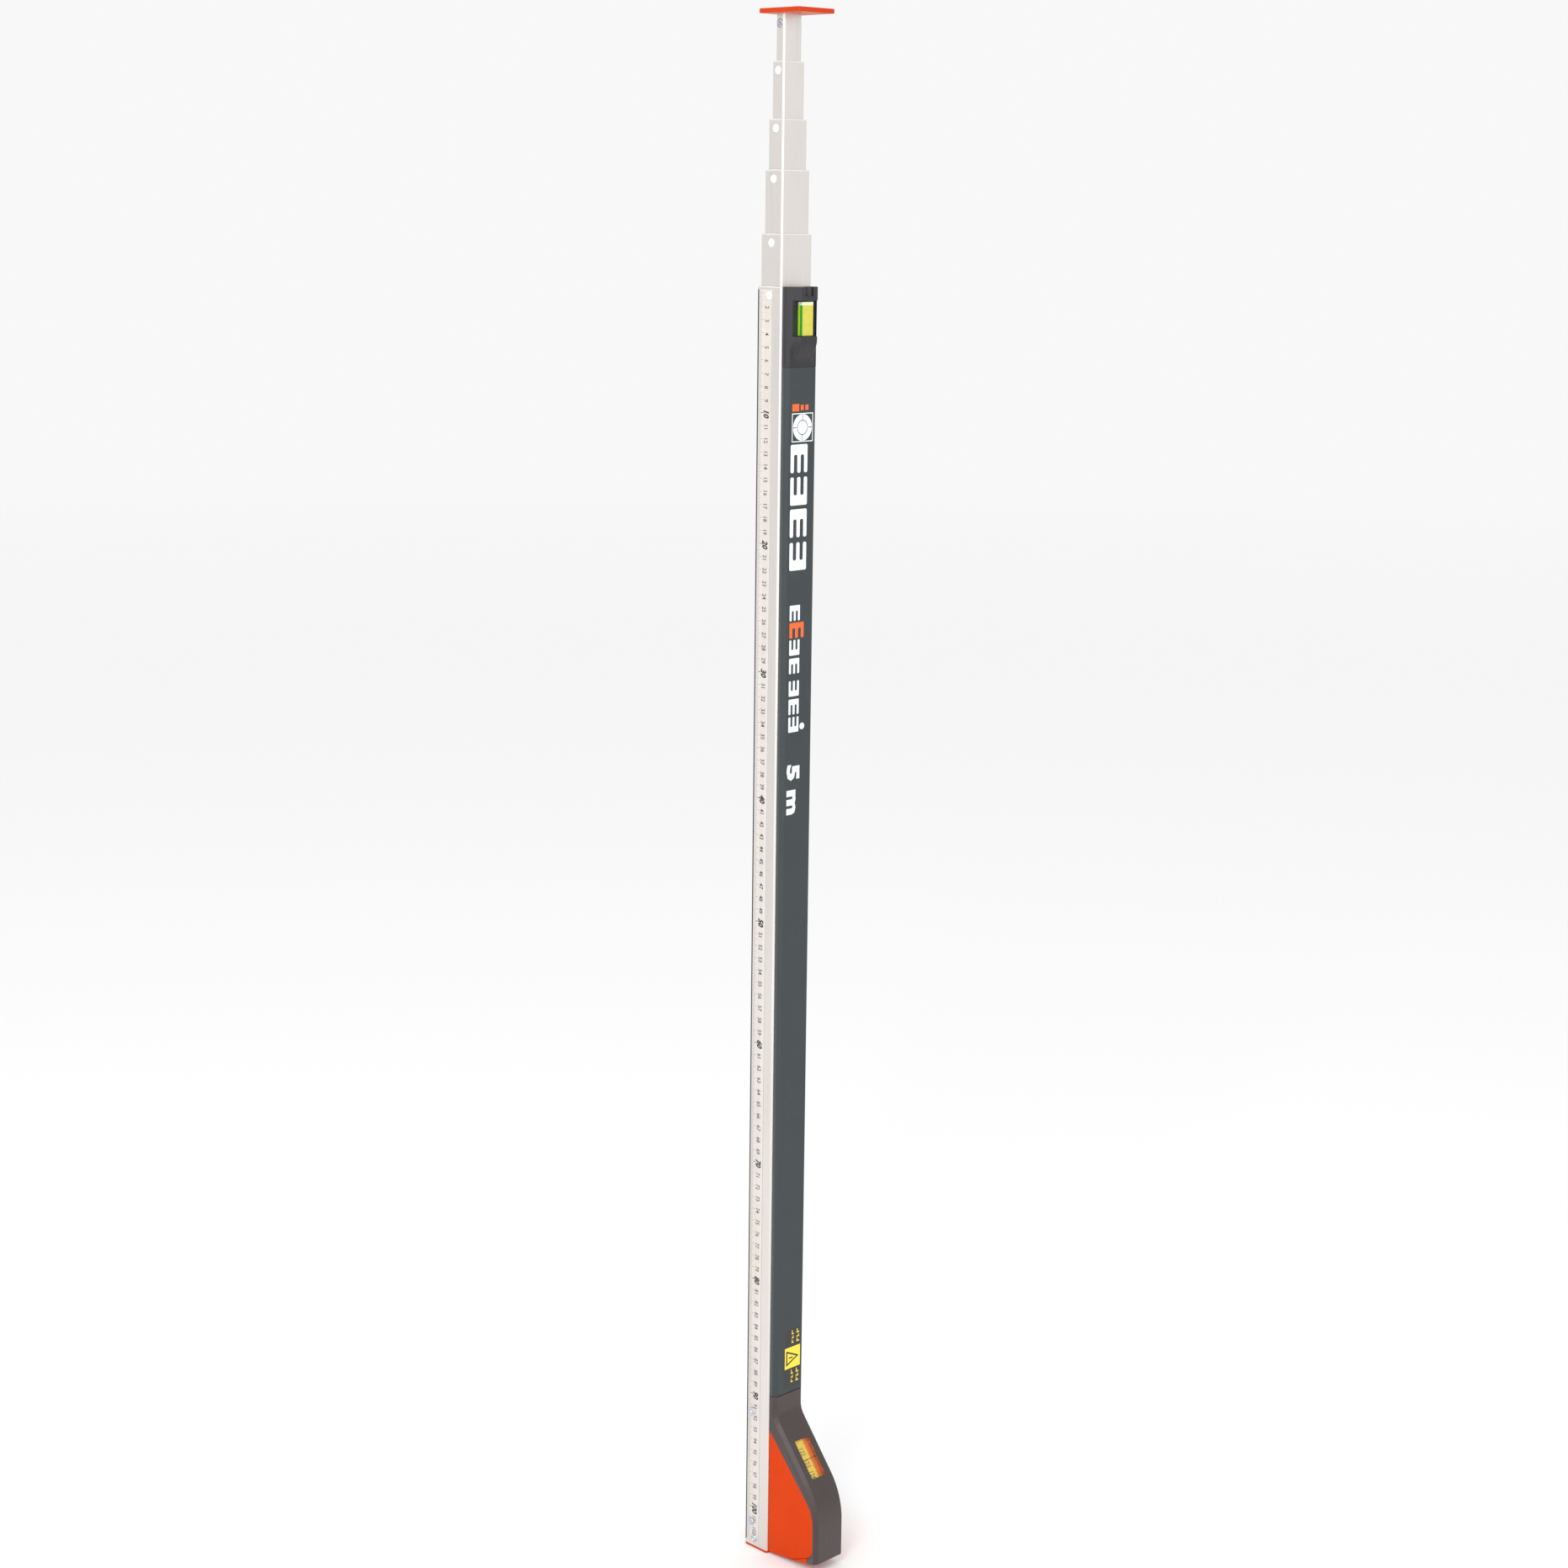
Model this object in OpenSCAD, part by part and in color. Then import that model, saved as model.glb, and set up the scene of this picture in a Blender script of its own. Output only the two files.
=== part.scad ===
// Telescopic levelling rod: six nested aluminium sections, a tape reel in a casing at the
// foot, a reading window, a tube vial and an orange end plate. +Z is up, +X is the side
// with the reading window, -Y is the side with the scale. Millimetres.

/* [Tubes] */
// Width of the outermost section, along X
tube_w = 26; // [25.6:0.1:26.4]
// Depth of the outermost section, along Y
tube_d = 36; // [35.6:0.1:36.4]
// Difference in width and depth between one section and the next
tube_step = 3.4; // [3.4:0.05:3.5]
// Wall thickness of every section
wall = 1.1; // [1:0.05:1.15]
// Outer corner radius of every section
corner_r = 2; // [1.6:0.1:2.2]
// Height of the outermost section's rim above the ground
rim_z = 1031; // [1000:1:1060]
// Distance that each section slides out of the next
stroke = 793; // [700:1:793]
// Length of a section that stays inside the next one at full stroke
overlap = 98; // [90:1:98]

/* [Sections as they stand] */
// How far section 2 stands out of section 1
pull_2 = 39; // [5:1:60]
// How far section 3 stands out of section 2
pull_3 = 47; // [5:1:60]
// How far section 4 stands out of section 3
pull_4 = 37; // [5:1:60]
// How far section 5 stands out of section 4
pull_5 = 42; // [5:1:60]
// How far section 6 stands out of section 5
pull_6 = 34; // [5:1:60]

/* [Guides, buttons and catches] */
// Thickness of a collar's flange on a section's rim
flange_t = 1; // [0.8:0.1:1.5]
// Height of a guide, in a collar or in a shoe
guide_h = 14; // [13:1:16]
// Thickness of a guide's wall
guide_t = 0.45; // [0.4:0.05:0.5]
// Diameter of a release button
button_d = 6.4; // [6:0.1:6.6]
// Distance from a rim down to its button's centre
button_drop = 6.9; // [6.5:0.1:7.2]

/* [End plate] */
// Reach of the end plate towards the window side
plate_out = 29.2; // [27:0.1:30]
// Reach of the end plate towards the other side
plate_in = 13.2; // [13:0.1:15]
// Depth of the end plate along Y
plate_d = 37.8; // [37:0.1:39]
// Thickness of the end plate
plate_t = 3.5; // [3:0.1:4]

/* [Cover and head piece] */
// Half width of the cover and the casing along Y
cover_y = 16.5; // [16.4:0.1:16.8]
// Chamfer along the cover's edges
cover_bevel = 2.4; // [2:0.1:2.8]
// Distance from the rod's axis to the cover's face
cover_x = 19; // [18.6:0.1:19.4]
// Wall thickness of the cover
cover_wall = 1.5; // [1.2:0.1:1.8]
// Height of the seam between the cover and the casing
seam_z = 139; // [138:1:142]
// Height of the seam between the cover and the head piece
head_z = 971; // [965:1:975]
// Distance from the rod's axis to the head piece's face
head_x = 25.4; // [25:0.1:26]
// Half width of the head piece's face
head_y = 8.6; // [8.2:0.1:9]

/* [Vial] */
// Width of the vial block
vial_w = 11.8; // [11:0.1:12]
// Height of the vial block
vial_h = 25.5; // [25:0.1:26]
// Height of the vial block's lower end
vial_z = 994.4; // [994:0.1:996]
// Distance from the rod's axis to the vial block's face
vial_x = 23.65; // [23:0.05:24]

/* [Casing] */
// Distance from the rod's axis to the casing's front
casing_x = 68.1; // [68:0.1:70]
// Wall thickness of the casing
casing_wall = 2.2; // [2:0.1:2.4]
// Chamfer along the casing's edges
casing_bevel = 3; // [2.6:0.1:3.2]
// Radius of the curve between the casing's slope and its front
casing_r = 60; // [58:1:62]
// Thickness of the orange side covers
side_t = 2; // [1.8:0.1:2.4]
// Length of the reading window along the slope
window_l = 33.4; // [33:0.1:34]
// Width of the reading window
window_w = 15.4; // [15:0.1:15.6]

/* [Tape reel] */
// Outer radius of the reel's rims
reel_r = 23.5; // [23:0.1:23.8]
// Radius of the wound tape
coil_r = 21.6; // [21:0.1:22]
// Outer radius of the reel's hub
hub_r = 14; // [13.5:0.1:14.5]
// Radius of the reel's axle
axle_r = 2.5; // [2:0.1:3]
// Width of the measuring tape
tape_w = 15.4; // [15:0.1:15.6]
// Thickness of the measuring tape
tape_t = 0.25; // [0.2:0.05:0.3]

/* [Hidden] */
$fn = 48;
last = 5;
pulls = [0, pull_2, pull_3, pull_4, pull_5, pull_6];
foot_t = 2;
shoe_lip = 1.5;
plug_h = 34;
top_screw_drop = 7;
block_z = [108, 136];
slot_z = [114, 130];
inset = 0.3;
strip_x = [corner_r - tube_w / 2, 4];
strip_z = [5, rim_z - 2.6];
skin = 0.05;
screw_r = 1.5;
thin_screw_r = 1.25;
hole_r = screw_r + 0.05;
tap_r = screw_r + 0.02;
head_r = 3.2;
leaf_t = 0.25;
scale_screws = [[-4.9, 121], [-5.3, 22.6], [-1.8, 8.4]];
slope_a = 38.9;
slope_x = casing_x - casing_r * (1 - cos(slope_a));
slope_p = [24, 115.5];
slope_z = function (x) slope_p[1] - (x - slope_p[0]) / tan(slope_a);
front_z = slope_z(slope_x) - casing_r * sin(slope_a);
under = [[tube_w / 2, 1], [56, 6.4], [casing_x, 9]];
window_c = [44.4, slope_z(44.4)];
reel_c = [42, 36];
pin_r = 3;
pin_low = [50.2, 70.6];
pin_high = [31.2, 95.4];
throat_c = [6.3, 135];
throat_r = 6;
red_orange = [0.90, 0.33, 0.10];
anthracite = [0.27, 0.28, 0.29];
bright_alu = [0.84, 0.84, 0.85];
off_white = [0.90, 0.89, 0.86];
steel = [0.62, 0.63, 0.65];

// Sizes and heights of section i, where 0 is the outermost one.
function width(i) = tube_w - i * tube_step;
function depth(i) = tube_d - i * tube_step;
function rise(i) = i == 0 ? 0 : rise(i - 1) + pulls[i];
function rim(i) = rim_z + rise(i);
function foot(i) = rim(i) - stroke - overlap;
plate_z = rim(last);

// Points on an arc from angle a to angle b around c.
function arc(c, r, a, b, n) = [for (k = [0:n]) let (t = a + (b - a) * k / n) c + r * [cos(t), sin(t)]];

// Direction of a straight run from a circle at p, passed on its right, to one at q.
function heading(p, rp, q, rq) = atan2(q[1] - p[1], q[0] - p[0]) + asin((rp - rq) / norm(q - p));

// Point of a circle that a run with heading h touches, on the run's left for side = 1.
function touch(c, r, h, side) = c + side * r * [sin(h), -cos(h)];

// A profile drawn in X and Z, as thick as y1 - y0 along Y.
module along_y(y0, y1) {
    translate([0, y1, 0]) rotate([90, 0, 0]) linear_extrude(y1 - y0) children();
}

module rounded(w, d, r) {
    square([w - 2 * r, d], center = true);
    square([w, d - 2 * r], center = true);
    for (sx = [-1, 1], sy = [-1, 1])
        translate([sx * (w / 2 - r), sy * (d / 2 - r)]) circle(r, $fn = 32);
}

module bar(w, d, r, z0, z1) {
    translate([0, 0, z0]) linear_extrude(z1 - z0) rounded(w, d, r);
}

module ring(w, d, r, t, z0, z1) {
    difference() {
        bar(w, d, r, z0, z1);
        bar(w - 2 * t, d - 2 * t, max(r - t, 0.5), z0 - 1, z1 + 1);
    }
}

// A round hole or pin along Y through the -Y wall, from depth y0 to y1.
module across(x, z, r, y0, y1) {
    translate([x, y1, z]) rotate([90, 0, 0]) cylinder(r = r, h = y1 - y0);
}

module button_hole(i) {
    z = rim(i) - button_drop;
    y = -depth(i) / 2;
    across(0, z, button_d / 2 + 0.1, y - 1, y + wall + 1);
    across(0, z, button_d / 2 + 0.6, y + wall - 0.5, y + wall + 1);
}

module catch_holes(i) {
    z = foot(i) + overlap - button_drop;
    y = -depth(i) / 2;
    across(0, z, 2.5 + skin, y - 1, y + wall + 1);
    across(0, z + 22, 1.2 + skin, y - 1, y + wall + 1);
}

// Sections
module main_tube() {
    y = -tube_d / 2;
    color(bright_alu) difference() {
        ring(tube_w, tube_d, corner_r, wall, foot_t, rim_z - flange_t);
        translate([strip_x[0], y - 1, strip_z[0]])
            cube([strip_x[1] - strip_x[0], 1 + inset, strip_z[1] - strip_z[0]]);
        button_hole(0);
        translate([0, -tape_w / 2 - 1, slot_z[0]])
            cube([tube_w, tape_w + 2, slot_z[1] - slot_z[0]]);
        for (s = scale_screws) across(s[0], s[1], hole_r, y - 1, y + wall + 1);
        casing_screw_places() cylinder(r = 1.3, h = 20, center = true);
        head_screw_places() cylinder(r = 1.05, h = 20, center = true);
    }
}

module section(i) {
    top = i == last ? rim(i) : rim(i) - flange_t;
    y = -depth(i) / 2;
    color(bright_alu) difference() {
        ring(width(i), depth(i), corner_r, wall, foot(i) + shoe_lip, top);
        if (i < last) button_hole(i);
        catch_holes(i);
        if (i == last) across(0, top - top_screw_drop, head_r + 0.1, y - 1, y + wall + 1);
    }
}

// A flange on the rim and a thin guide down the inside, open behind the button.
module collar(i) {
    w = width(i) - 2 * wall;
    d = depth(i) - 2 * wall;
    z = rim(i);
    color(off_white) difference() {
        union() {
            bar(width(i), depth(i), corner_r, z - flange_t, z - flange_t / 2);
            bar(width(i) - 0.7, depth(i) - 0.7, corner_r - 0.3, z - flange_t / 2, z);
            bar(w, d, corner_r - wall, z - guide_h, z - flange_t + 0.1);
        }
        bar(w - 2 * guide_t, d - 2 * guide_t, 1.2, z - guide_h - 1, z + 1);
        translate([-5, -depth(i), z - guide_h - 1]) cube([10, depth(i), guide_h + 1 - flange_t]);
    }
}

module button(i) {
    y = -depth(i) / 2;
    z = rim(i) - button_drop;
    color("white") {
        across(0, z, button_d / 2, y, y + wall - 0.2);
        across(0, z, button_d / 2 + 0.5, y + wall - 0.45, y + wall);
    }
}

// A sleeve around a section's lower end, with a keyway that clears the next section's catch.
module shoe(i) {
    w = width(i) + 2 * guide_t;
    d = depth(i) + 2 * guide_t;
    z = foot(i);
    color(anthracite) difference() {
        bar(w, d, corner_r + guide_t, z, z + guide_h);
        bar(width(i), depth(i), corner_r, z + shoe_lip, z + guide_h + 1);
        bar(width(i) - 2 * wall, depth(i) - 2 * wall, corner_r - wall, z - 1, z + guide_h);
        translate([-5, -d, z - 1]) cube([10, d - depth(i) / 2, guide_h + 2]);
    }
}

// A spring leaf behind the wall that carries a pin and a rivet.
module catch(i) {
    y = -depth(i) / 2;
    z = foot(i) + overlap - button_drop;
    color(steel) {
        across(0, z, 2.5, y + 0.05, y + wall + 0.1);
        across(0, z + 22, 1.2, y + 0.05, y + wall + 0.1);
        translate([-2.5, y + wall, z - 4]) cube([5, leaf_t, 30]);
    }
}

// Scale and foot
module scale_strip() {
    y = -tube_d / 2;
    color(off_white) difference() {
        translate([strip_x[0], y, strip_z[0]])
            cube([strip_x[1] - strip_x[0], inset, strip_z[1] - strip_z[0]]);
        across(0, rim_z - button_drop, button_d / 2 + 0.1, y - 1, y + 1);
        for (s = scale_screws) across(s[0], s[1], hole_r, y - 1, y + 1);
    }
}

// A cross recess in a screw's head, cut 0.8 deep from the face y.
module cross_recess(x, z, y) {
    for (a = [45, 135]) translate([x, y + 0.3, z]) rotate([0, a, 0])
        cube([head_r, 1, 0.7], center = true);
}

// A pan-head screw, its head standing on the face y and its tip inside.
module pan_screw(x, z, y, l) {
    difference() {
        union() {
            across(x, z, head_r, y - 1, y);
            across(x, z, head_r - 0.7, y - 1.5, y - 0.9);
            across(x, z, screw_r, y - 0.1, y + l);
        }
        cross_recess(x, z, y - 1.5);
    }
}

module scale_screws() {
    color(steel) for (s = scale_screws) pan_screw(s[0], s[1], -tube_d / 2, 7);
}

module foot_screw_places() {
    for (sy = [-1, 1]) translate([0, sy * 10, 0]) children();
}

module foot_plate() {
    color(red_orange) difference() {
        bar(tube_w, tube_d, corner_r, 0, foot_t);
        foot_screw_places() {
            translate([0, 0, -1]) cylinder(r = hole_r, h = 4);
            translate([0, 0, -0.5]) cylinder(r1 = 3.7, r2 = hole_r, h = 1.75);
        }
    }
}

module foot_screws() {
    color(steel) foot_screw_places() {
        translate([0, 0, 0.2]) cylinder(r1 = 2.6, r2 = screw_r, h = 0.9);
        translate([0, 0, 1]) cylinder(r = screw_r, h = 5.3);
    }
}

module foot_plug() {
    w = tube_w - 2 * wall - 0.1;
    d = tube_d - 2 * wall - 0.1;
    color(anthracite) difference() {
        bar(w, d, 0.9, foot_t, foot_t + plug_h);
        bar(w - 13, d - 15, 2, foot_t + 14, foot_t + plug_h + 1);
        foot_screw_places() cylinder(r = tap_r, h = 6.5);
        for (s = [scale_screws[1], scale_screws[2]]) across(s[0], s[1], tap_r, -d, -tube_d / 2 + 8);
        casing_screw_places() cylinder(r = thin_screw_r + 0.02, h = 20, center = true);
    }
}

// The block above the foot that stops the sections and turns the tape upwards.
module stop_block() {
    w = tube_w - 2 * wall - 0.1;
    d = tube_d - 2 * wall - 0.1;
    color(anthracite) difference() {
        bar(w, d, 0.9, block_z[0], block_z[1]);
        along_y(-tape_w / 2 - 0.6, tape_w / 2 + 0.6) polygon(throat());
        across(scale_screws[0][0], scale_screws[0][1], tap_r, -d, -tube_d / 2 + 8);
        casing_screw_places() cylinder(r = thin_screw_r + 0.02, h = 20, center = true);
    }
}

// The channel of the stop block, open to +X and upwards, round where the tape bends.
function throat() = concat(
    arc(throat_c, throat_r, 180, 90 + h_throat, 8),
    [[tube_w, mouth_z(tube_w) + 0.4], [tube_w, mouth_z(tube_w) - 3], [-1.8, mouth_z(-1.8) - 3],
     [-1.8, throat_c[1] + 9], [throat_c[0] - throat_r, throat_c[1] + 9]]);

// Cover and head piece
module skirted(x, y, bevel) {
    polygon([[tube_w / 2, -y], [x - bevel, -y], [x, bevel - y], [x, y - bevel], [x - bevel, y],
        [tube_w / 2, y]]);
}

module cover() {
    y = cover_y - 0.2;
    color(anthracite) difference() {
        translate([0, 0, seam_z]) linear_extrude(head_z - seam_z) skirted(cover_x, y, cover_bevel);
        translate([-1, 0, seam_z - 1]) linear_extrude(head_z - seam_z + 2)
            skirted(cover_x - cover_wall, y - cover_wall, cover_bevel - 0.6);
    }
}

// The head piece's screws are hidden behind the vial block.
module head_screw_places() {
    for (z = [6, 19]) translate([tube_w / 2 + 1, 0, vial_z + z]) rotate([0, 90, 0]) children();
}

module head_piece() {
    x0 = tube_w / 2;
    color(anthracite) difference() {
        union() {
            translate([0, 0, head_z]) linear_extrude(rim_z - head_z) skirted(cover_x, cover_y, cover_bevel);
            intersection() {
                translate([0, 0, head_z]) linear_extrude(rim_z - head_z)
                    polygon([[x0, -14.1], [cover_x, -14.1], [head_x, -head_y], [head_x, head_y],
                        [cover_x, 14.1], [x0, 14.1]]);
                along_y(-cover_y, cover_y) polygon([[x0, head_z], [cover_x, head_z], [head_x, head_z + 20],
                    [head_x, rim_z], [x0, rim_z]]);
            }
        }
        translate([x0 - 1, 0, (head_z + rim_z) / 2 - 8]) cube([4, 26, 34], center = true);
        translate([cover_x - 0.3, -12.9, vial_z - 0.4]) cube([10, 25.8, vial_h + 1]);
        translate([head_x, 0, rim_z - 7]) cylinder(r = 4.2, h = 10);
        head_screw_places() {
            cylinder(r = 1.05, h = 30, center = true);
            translate([0, 0, 3]) cylinder(r = 2.2, h = 30);
        }
    }
}

module head_screws() {
    color(steel) head_screw_places() {
        translate([0, 0, -2.4]) cylinder(r = 1, h = 6.4);
        translate([0, 0, 3.05]) cylinder(r = 2, h = 1.2);
    }
}

module vial_core(r, z0, z1) {
    translate([(cover_x + vial_x) / 2, 0, z0]) cylinder(r = r, h = z1 - z0);
}

module vial_block() {
    color([0.9, 0.95, 0.3, 0.7]) difference() {
        translate([cover_x - 0.3, -vial_w / 2, vial_z])
            cube([vial_x - cover_x + 0.3, vial_w, vial_h]);
        vial_core(1.75, vial_z + 2, vial_z + vial_h - 1.5);
    }
}

// The liquid in the vial; the space that it leaves at the top is the bubble.
module vial_liquid() {
    color([0.8, 0.95, 0.2]) vial_core(1.7, vial_z + 2.05, vial_z + vial_h - 6);
}

// Casing
function casing_outline(t) = concat(
    [[tube_w / 2, under[0][1] + t], [tube_w / 2, 118], [cover_x + 0.4 - t, 118 + t],
     [cover_x + 0.4 - t, slope_z(cover_x + 0.4) - t * 0.34]],
    [for (q = arc([casing_x - casing_r, front_z], casing_r - t, slope_a, 0, 8)) q],
    [[casing_x - t, under[2][1] + t], [under[1][0], under[1][1] + t]]);

module casing_body(t) {
    b = casing_bevel;
    hull() {
        along_y(-cover_y + b + t, cover_y - b - t) polygon(casing_outline(t));
        along_y(-cover_y + t, cover_y - t) polygon(casing_outline(b + t * 0.6));
    }
}

// The side cover's lower edge, from the tube to its round corner at the front.
crease = [[tube_w / 2, 1.3], [33, 3.5], [43, 5.6], [57.5, 11.6]];

// The side cover's outline: the slope, a wide round into the front and the lower corner.
function side_outline(t) = concat(
    [for (q = crease) q + [0, t]],
    arc([53.5 - t, 21.3], 10.5, -67, 0, 6),
    arc([36 - t, 41.4], 28, 0, 40.9, 6),
    [[tube_w / 2, 109.4 - t * 1.5]]);

module casing_band() {
    color(anthracite) difference() {
        union() {
            casing_body(0);
            translate([0, 0, 108]) linear_extrude(seam_z - 108) skirted(cover_x + 0.4, cover_y, cover_bevel);
        }
        casing_body(casing_wall);
        translate([-1, 0, 100]) linear_extrude(seam_z - 105)
            skirted(cover_x - cover_wall, cover_y - casing_wall, cover_bevel - 1);
        along_y(-20, 20) polygon(side_outline(0));
        window_place() cube([window_l, window_w, 12], center = true);
        along_y(-20, 20) polygon([[0, 20], [57.5, 20], crease[3], base_end, [59.6, -5], [0, -5]]);
    }
}

module window_place() {
    translate([window_c[0], 0, window_c[1]]) rotate([0, 90 - slope_a, 0]) children();
}

module window_lens() {
    color([0.9, 0.9, 0.95, 0.3]) window_place() translate([0, 0, -1.3])
        cube([window_l - 0.1, window_w - 0.1, 1.8], center = true);
}

module side_cover(s) {
    y = cover_y - side_t;
    color(red_orange) scale([1, s, 1]) difference() {
        union() {
            along_y(y, cover_y) polygon(side_outline(0.1));
            translate([reel_c[0], y, reel_c[1]]) rotate([90, 0, 0]) cylinder(r = 5, h = 3);
            translate([reel_c[0], y + 0.5, reel_c[1]]) rotate([90, 0, 0]) cylinder(r = 3.4, h = 5.2);
        }
        translate([reel_c[0], y + 0.05, reel_c[1]]) rotate([90, 0, 0])
            cylinder(r = axle_r + 0.02, h = 12);
    }
}

// The base's outline, as thick as its floor between the side covers.
base_end = [58.6, 6.9];
floor_up = [0, 3];

module casing_base() {
    y = cover_y - side_t - 0.3;
    gap = [0.1, 0.1];
    below = concat([crease[3] - [0.2, 0.1]], [for (k = [2:-1:0]) crease[k] - [0, 0.1]]);
    sides = concat(below, [[0, below[3][1]], [0, 30], [70, 30], [70, below[0][1]]]);
    color(red_orange) difference() {
        along_y(-cover_y, cover_y) polygon([under[0], under[1], base_end - gap,
            base_end - gap + 1.08 * (crease[3] - base_end), crease[3] - [1.2, -1.5],
            crease[2] + floor_up, crease[0] + floor_up]);
        along_y(y, cover_y + 1) polygon(sides);
        along_y(-cover_y - 1, -y) polygon(sides);
    }
}

module casing_screw_places() {
    for (p = [[0, 20], [-11, 112], [11, 112]])
        translate([tube_w / 2, p[0], p[1]]) rotate([0, 90, 0]) children();
}

module casing_screws() {
    color(steel) casing_screw_places() translate([0, 0, -6]) {
        cylinder(r = thin_screw_r, h = 8);
        translate([0, 0, 6.1]) cylinder(r = 2.2, h = 1.4);
    }
}

// Reel
module at_reel(y0) {
    translate([reel_c[0], y0, reel_c[1]]) rotate([-90, 0, 0]) children();
}

module reel_drum() {
    w = tape_w / 2 + 0.5;
    color(anthracite) at_reel(-w - 1) difference() {
        union() {
            cylinder(r = reel_r, h = 1);
            translate([0, 0, 0.5]) cylinder(r = hub_r, h = 2 * w + 0.5);
            translate([0, 0, 2 * w + 1]) cylinder(r = reel_r, h = 1);
        }
        translate([0, 0, 1]) cylinder(r = hub_r - 1.2, h = 40);
        translate([0, 0, -1]) cylinder(r = 3.6, h = 4);
    }
    color(anthracite) at_reel(-w - 1) difference() {
        cylinder(r = 4.2, h = 4);
        translate([0, 0, -1]) cylinder(r = axle_r + 0.05, h = 8);
    }
}

module reel_axle() {
    color(steel) at_reel(-cover_y + side_t) cylinder(r = axle_r, h = 2 * (cover_y - side_t));
}

// A flat spiral spring from the axle to just inside the hub.
module reel_spring() {
    turns = 7;
    r0 = axle_r + 0.05;
    r1 = hub_r - 2.2;
    edge = function (o) [for (k = [0:turns * 20]) let (a = k * 18)
        (r0 + o + (r1 - r0 - 0.3) * k / (turns * 20)) * [cos(a), sin(a)]];
    inner = edge(0);
    outer = edge(0.3);
    n = len(outer);
    color(steel) at_reel(-3.5) linear_extrude(11)
        polygon(concat(inner, [for (k = [0:n - 1]) outer[n - 1 - k]]));
}

module tape_coil() {
    color("gold") at_reel(-tape_w / 2) difference() {
        cylinder(r = coil_r, h = tape_w);
        translate([0, 0, -1]) cylinder(r = hub_r + 2 * skin, h = tape_w + 2);
    }
}

// The tape's way from the coil past both pins and through the stop block.
half = tape_t / 2;
h_low = heading(reel_c, coil_r + half, pin_low, pin_r + 2 * half);
h_window = heading(pin_low, pin_r + 2 * half, pin_high, pin_r + 2 * half);
h_throat = heading(pin_high, pin_r + 2 * half, throat_c, -throat_r - 2 * half);
exit_p = touch(pin_high, pin_r + 2 * half, h_throat, 1);
mouth_z = function (x) exit_p[1] + (x - exit_p[0]) * tan(h_throat);

function turn(c, r, h0, h1, side, n) =
    [for (k = [0:n]) let (h = h0 + (h1 - h0) * k / n) [touch(c, r, h, side), h]];

module ribbon(path) {
    left = [for (q = path) q[0] - half * [sin(q[1]), -cos(q[1])]];
    right = [for (q = path) q[0] + half * [sin(q[1]), -cos(q[1])]];
    n = len(path);
    color("gold") along_y(-tape_w / 2, tape_w / 2)
        polygon(concat(left, [for (k = [0:n - 1]) right[n - 1 - k]]));
}

module tape_run() {
    r = pin_r + 2 * half;
    ribbon(concat(
        [[touch(reel_c, coil_r + half, h_low, 1), h_low]],
        turn(pin_low, r, h_low, h_window, 1, 5),
        turn(pin_high, r, h_window, h_throat, 1, 4),
        turn(throat_c, throat_r + 2 * half, h_throat, 90, -1, 8)));
}

module tape_lower() {
    x = throat_c[0] - throat_r - 2 * half;
    color("gold") translate([x - half, -tape_w / 2, throat_c[1]])
        cube([tape_t, tape_w, foot(last) - throat_c[1]]);
}

module tape_upper() {
    x = throat_c[0] - throat_r - 2 * half - 0.5;
    color("gold") translate([x - half, -tape_w / 2, foot(last)])
        cube([tape_t, tape_w, plate_z - 20 - foot(last)]);
}

module guide_pins() {
    color(steel) for (c = [pin_low, pin_high]) translate([c[0], 0, c[1]])
        rotate([90, 0, 0]) cylinder(r = pin_r, h = 2 * (cover_y - casing_wall), center = true);
}

// Top
module top_plug() {
    w = width(last) - 2 * wall - 0.1;
    d = depth(last) - 2 * wall - 0.1;
    color(anthracite) difference() {
        bar(w, d, 0.9, plate_z - 24, plate_z);
        translate([-1, -tape_w / 2 - 0.3, plate_z - 25]) cube([2, tape_w + 0.6, 6]);
        across(0, plate_z - top_screw_drop, tap_r, -d, -d / 2 + 7);
        plate_screw_places() cylinder(r = thin_screw_r + 0.02, h = 10.8, center = true);
    }
}

// This screw is sunk in the wall, so that it passes the collar of the next section.
module top_screw() {
    y = -depth(last) / 2;
    z = plate_z - top_screw_drop;
    color(steel) difference() {
        union() {
            across(0, z, head_r, y + 0.1, y + wall);
            across(0, z, screw_r, y + wall - 0.1, y + 5);
        }
        cross_recess(0, z, y + 0.1);
    }
}

module plate_screw_places() {
    for (sy = [-1, 1]) translate([0, sy * 5.8, plate_z]) children();
}

module top_plate() {
    w = plate_out + plate_in;
    color(red_orange) difference() {
        translate([(plate_out - plate_in) / 2, 0, plate_z])
            linear_extrude(plate_t) rounded(w, plate_d, 1.5);
        plate_screw_places() {
            translate([0, 0, -1]) cylinder(r = 1.3, h = 10);
            translate([0, 0, plate_t - 1.5]) cylinder(r1 = 1.3, r2 = 3.2, h = 2);
        }
    }
}

module plate_screws() {
    color(steel) plate_screw_places() {
        translate([0, 0, -5.2]) cylinder(r = thin_screw_r, h = plate_t + 3.8);
        translate([0, 0, plate_t - 1.45]) cylinder(r1 = thin_screw_r, r2 = 2.6, h = 1.35);
    }
}

main_tube();
scale_strip();
foot_plate();
foot_screws();
foot_plug();
scale_screws();
stop_block();
cover();
head_piece();
head_screws();
vial_block();
vial_liquid();
casing_band();
casing_base();
casing_screws();
side_cover(-1);  // side_cover_left
side_cover(1);  // side_cover_right
window_lens();
guide_pins();
reel_drum();
reel_axle();
reel_spring();
tape_coil();
tape_run();
tape_lower();
tape_upper();
for (i = [1:last]) {
    section(i);
    shoe(i);
    catch(i);
    collar(i - 1);
    button(i - 1);
}
top_plug();
top_screw();
top_plate();
plate_screws();
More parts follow.
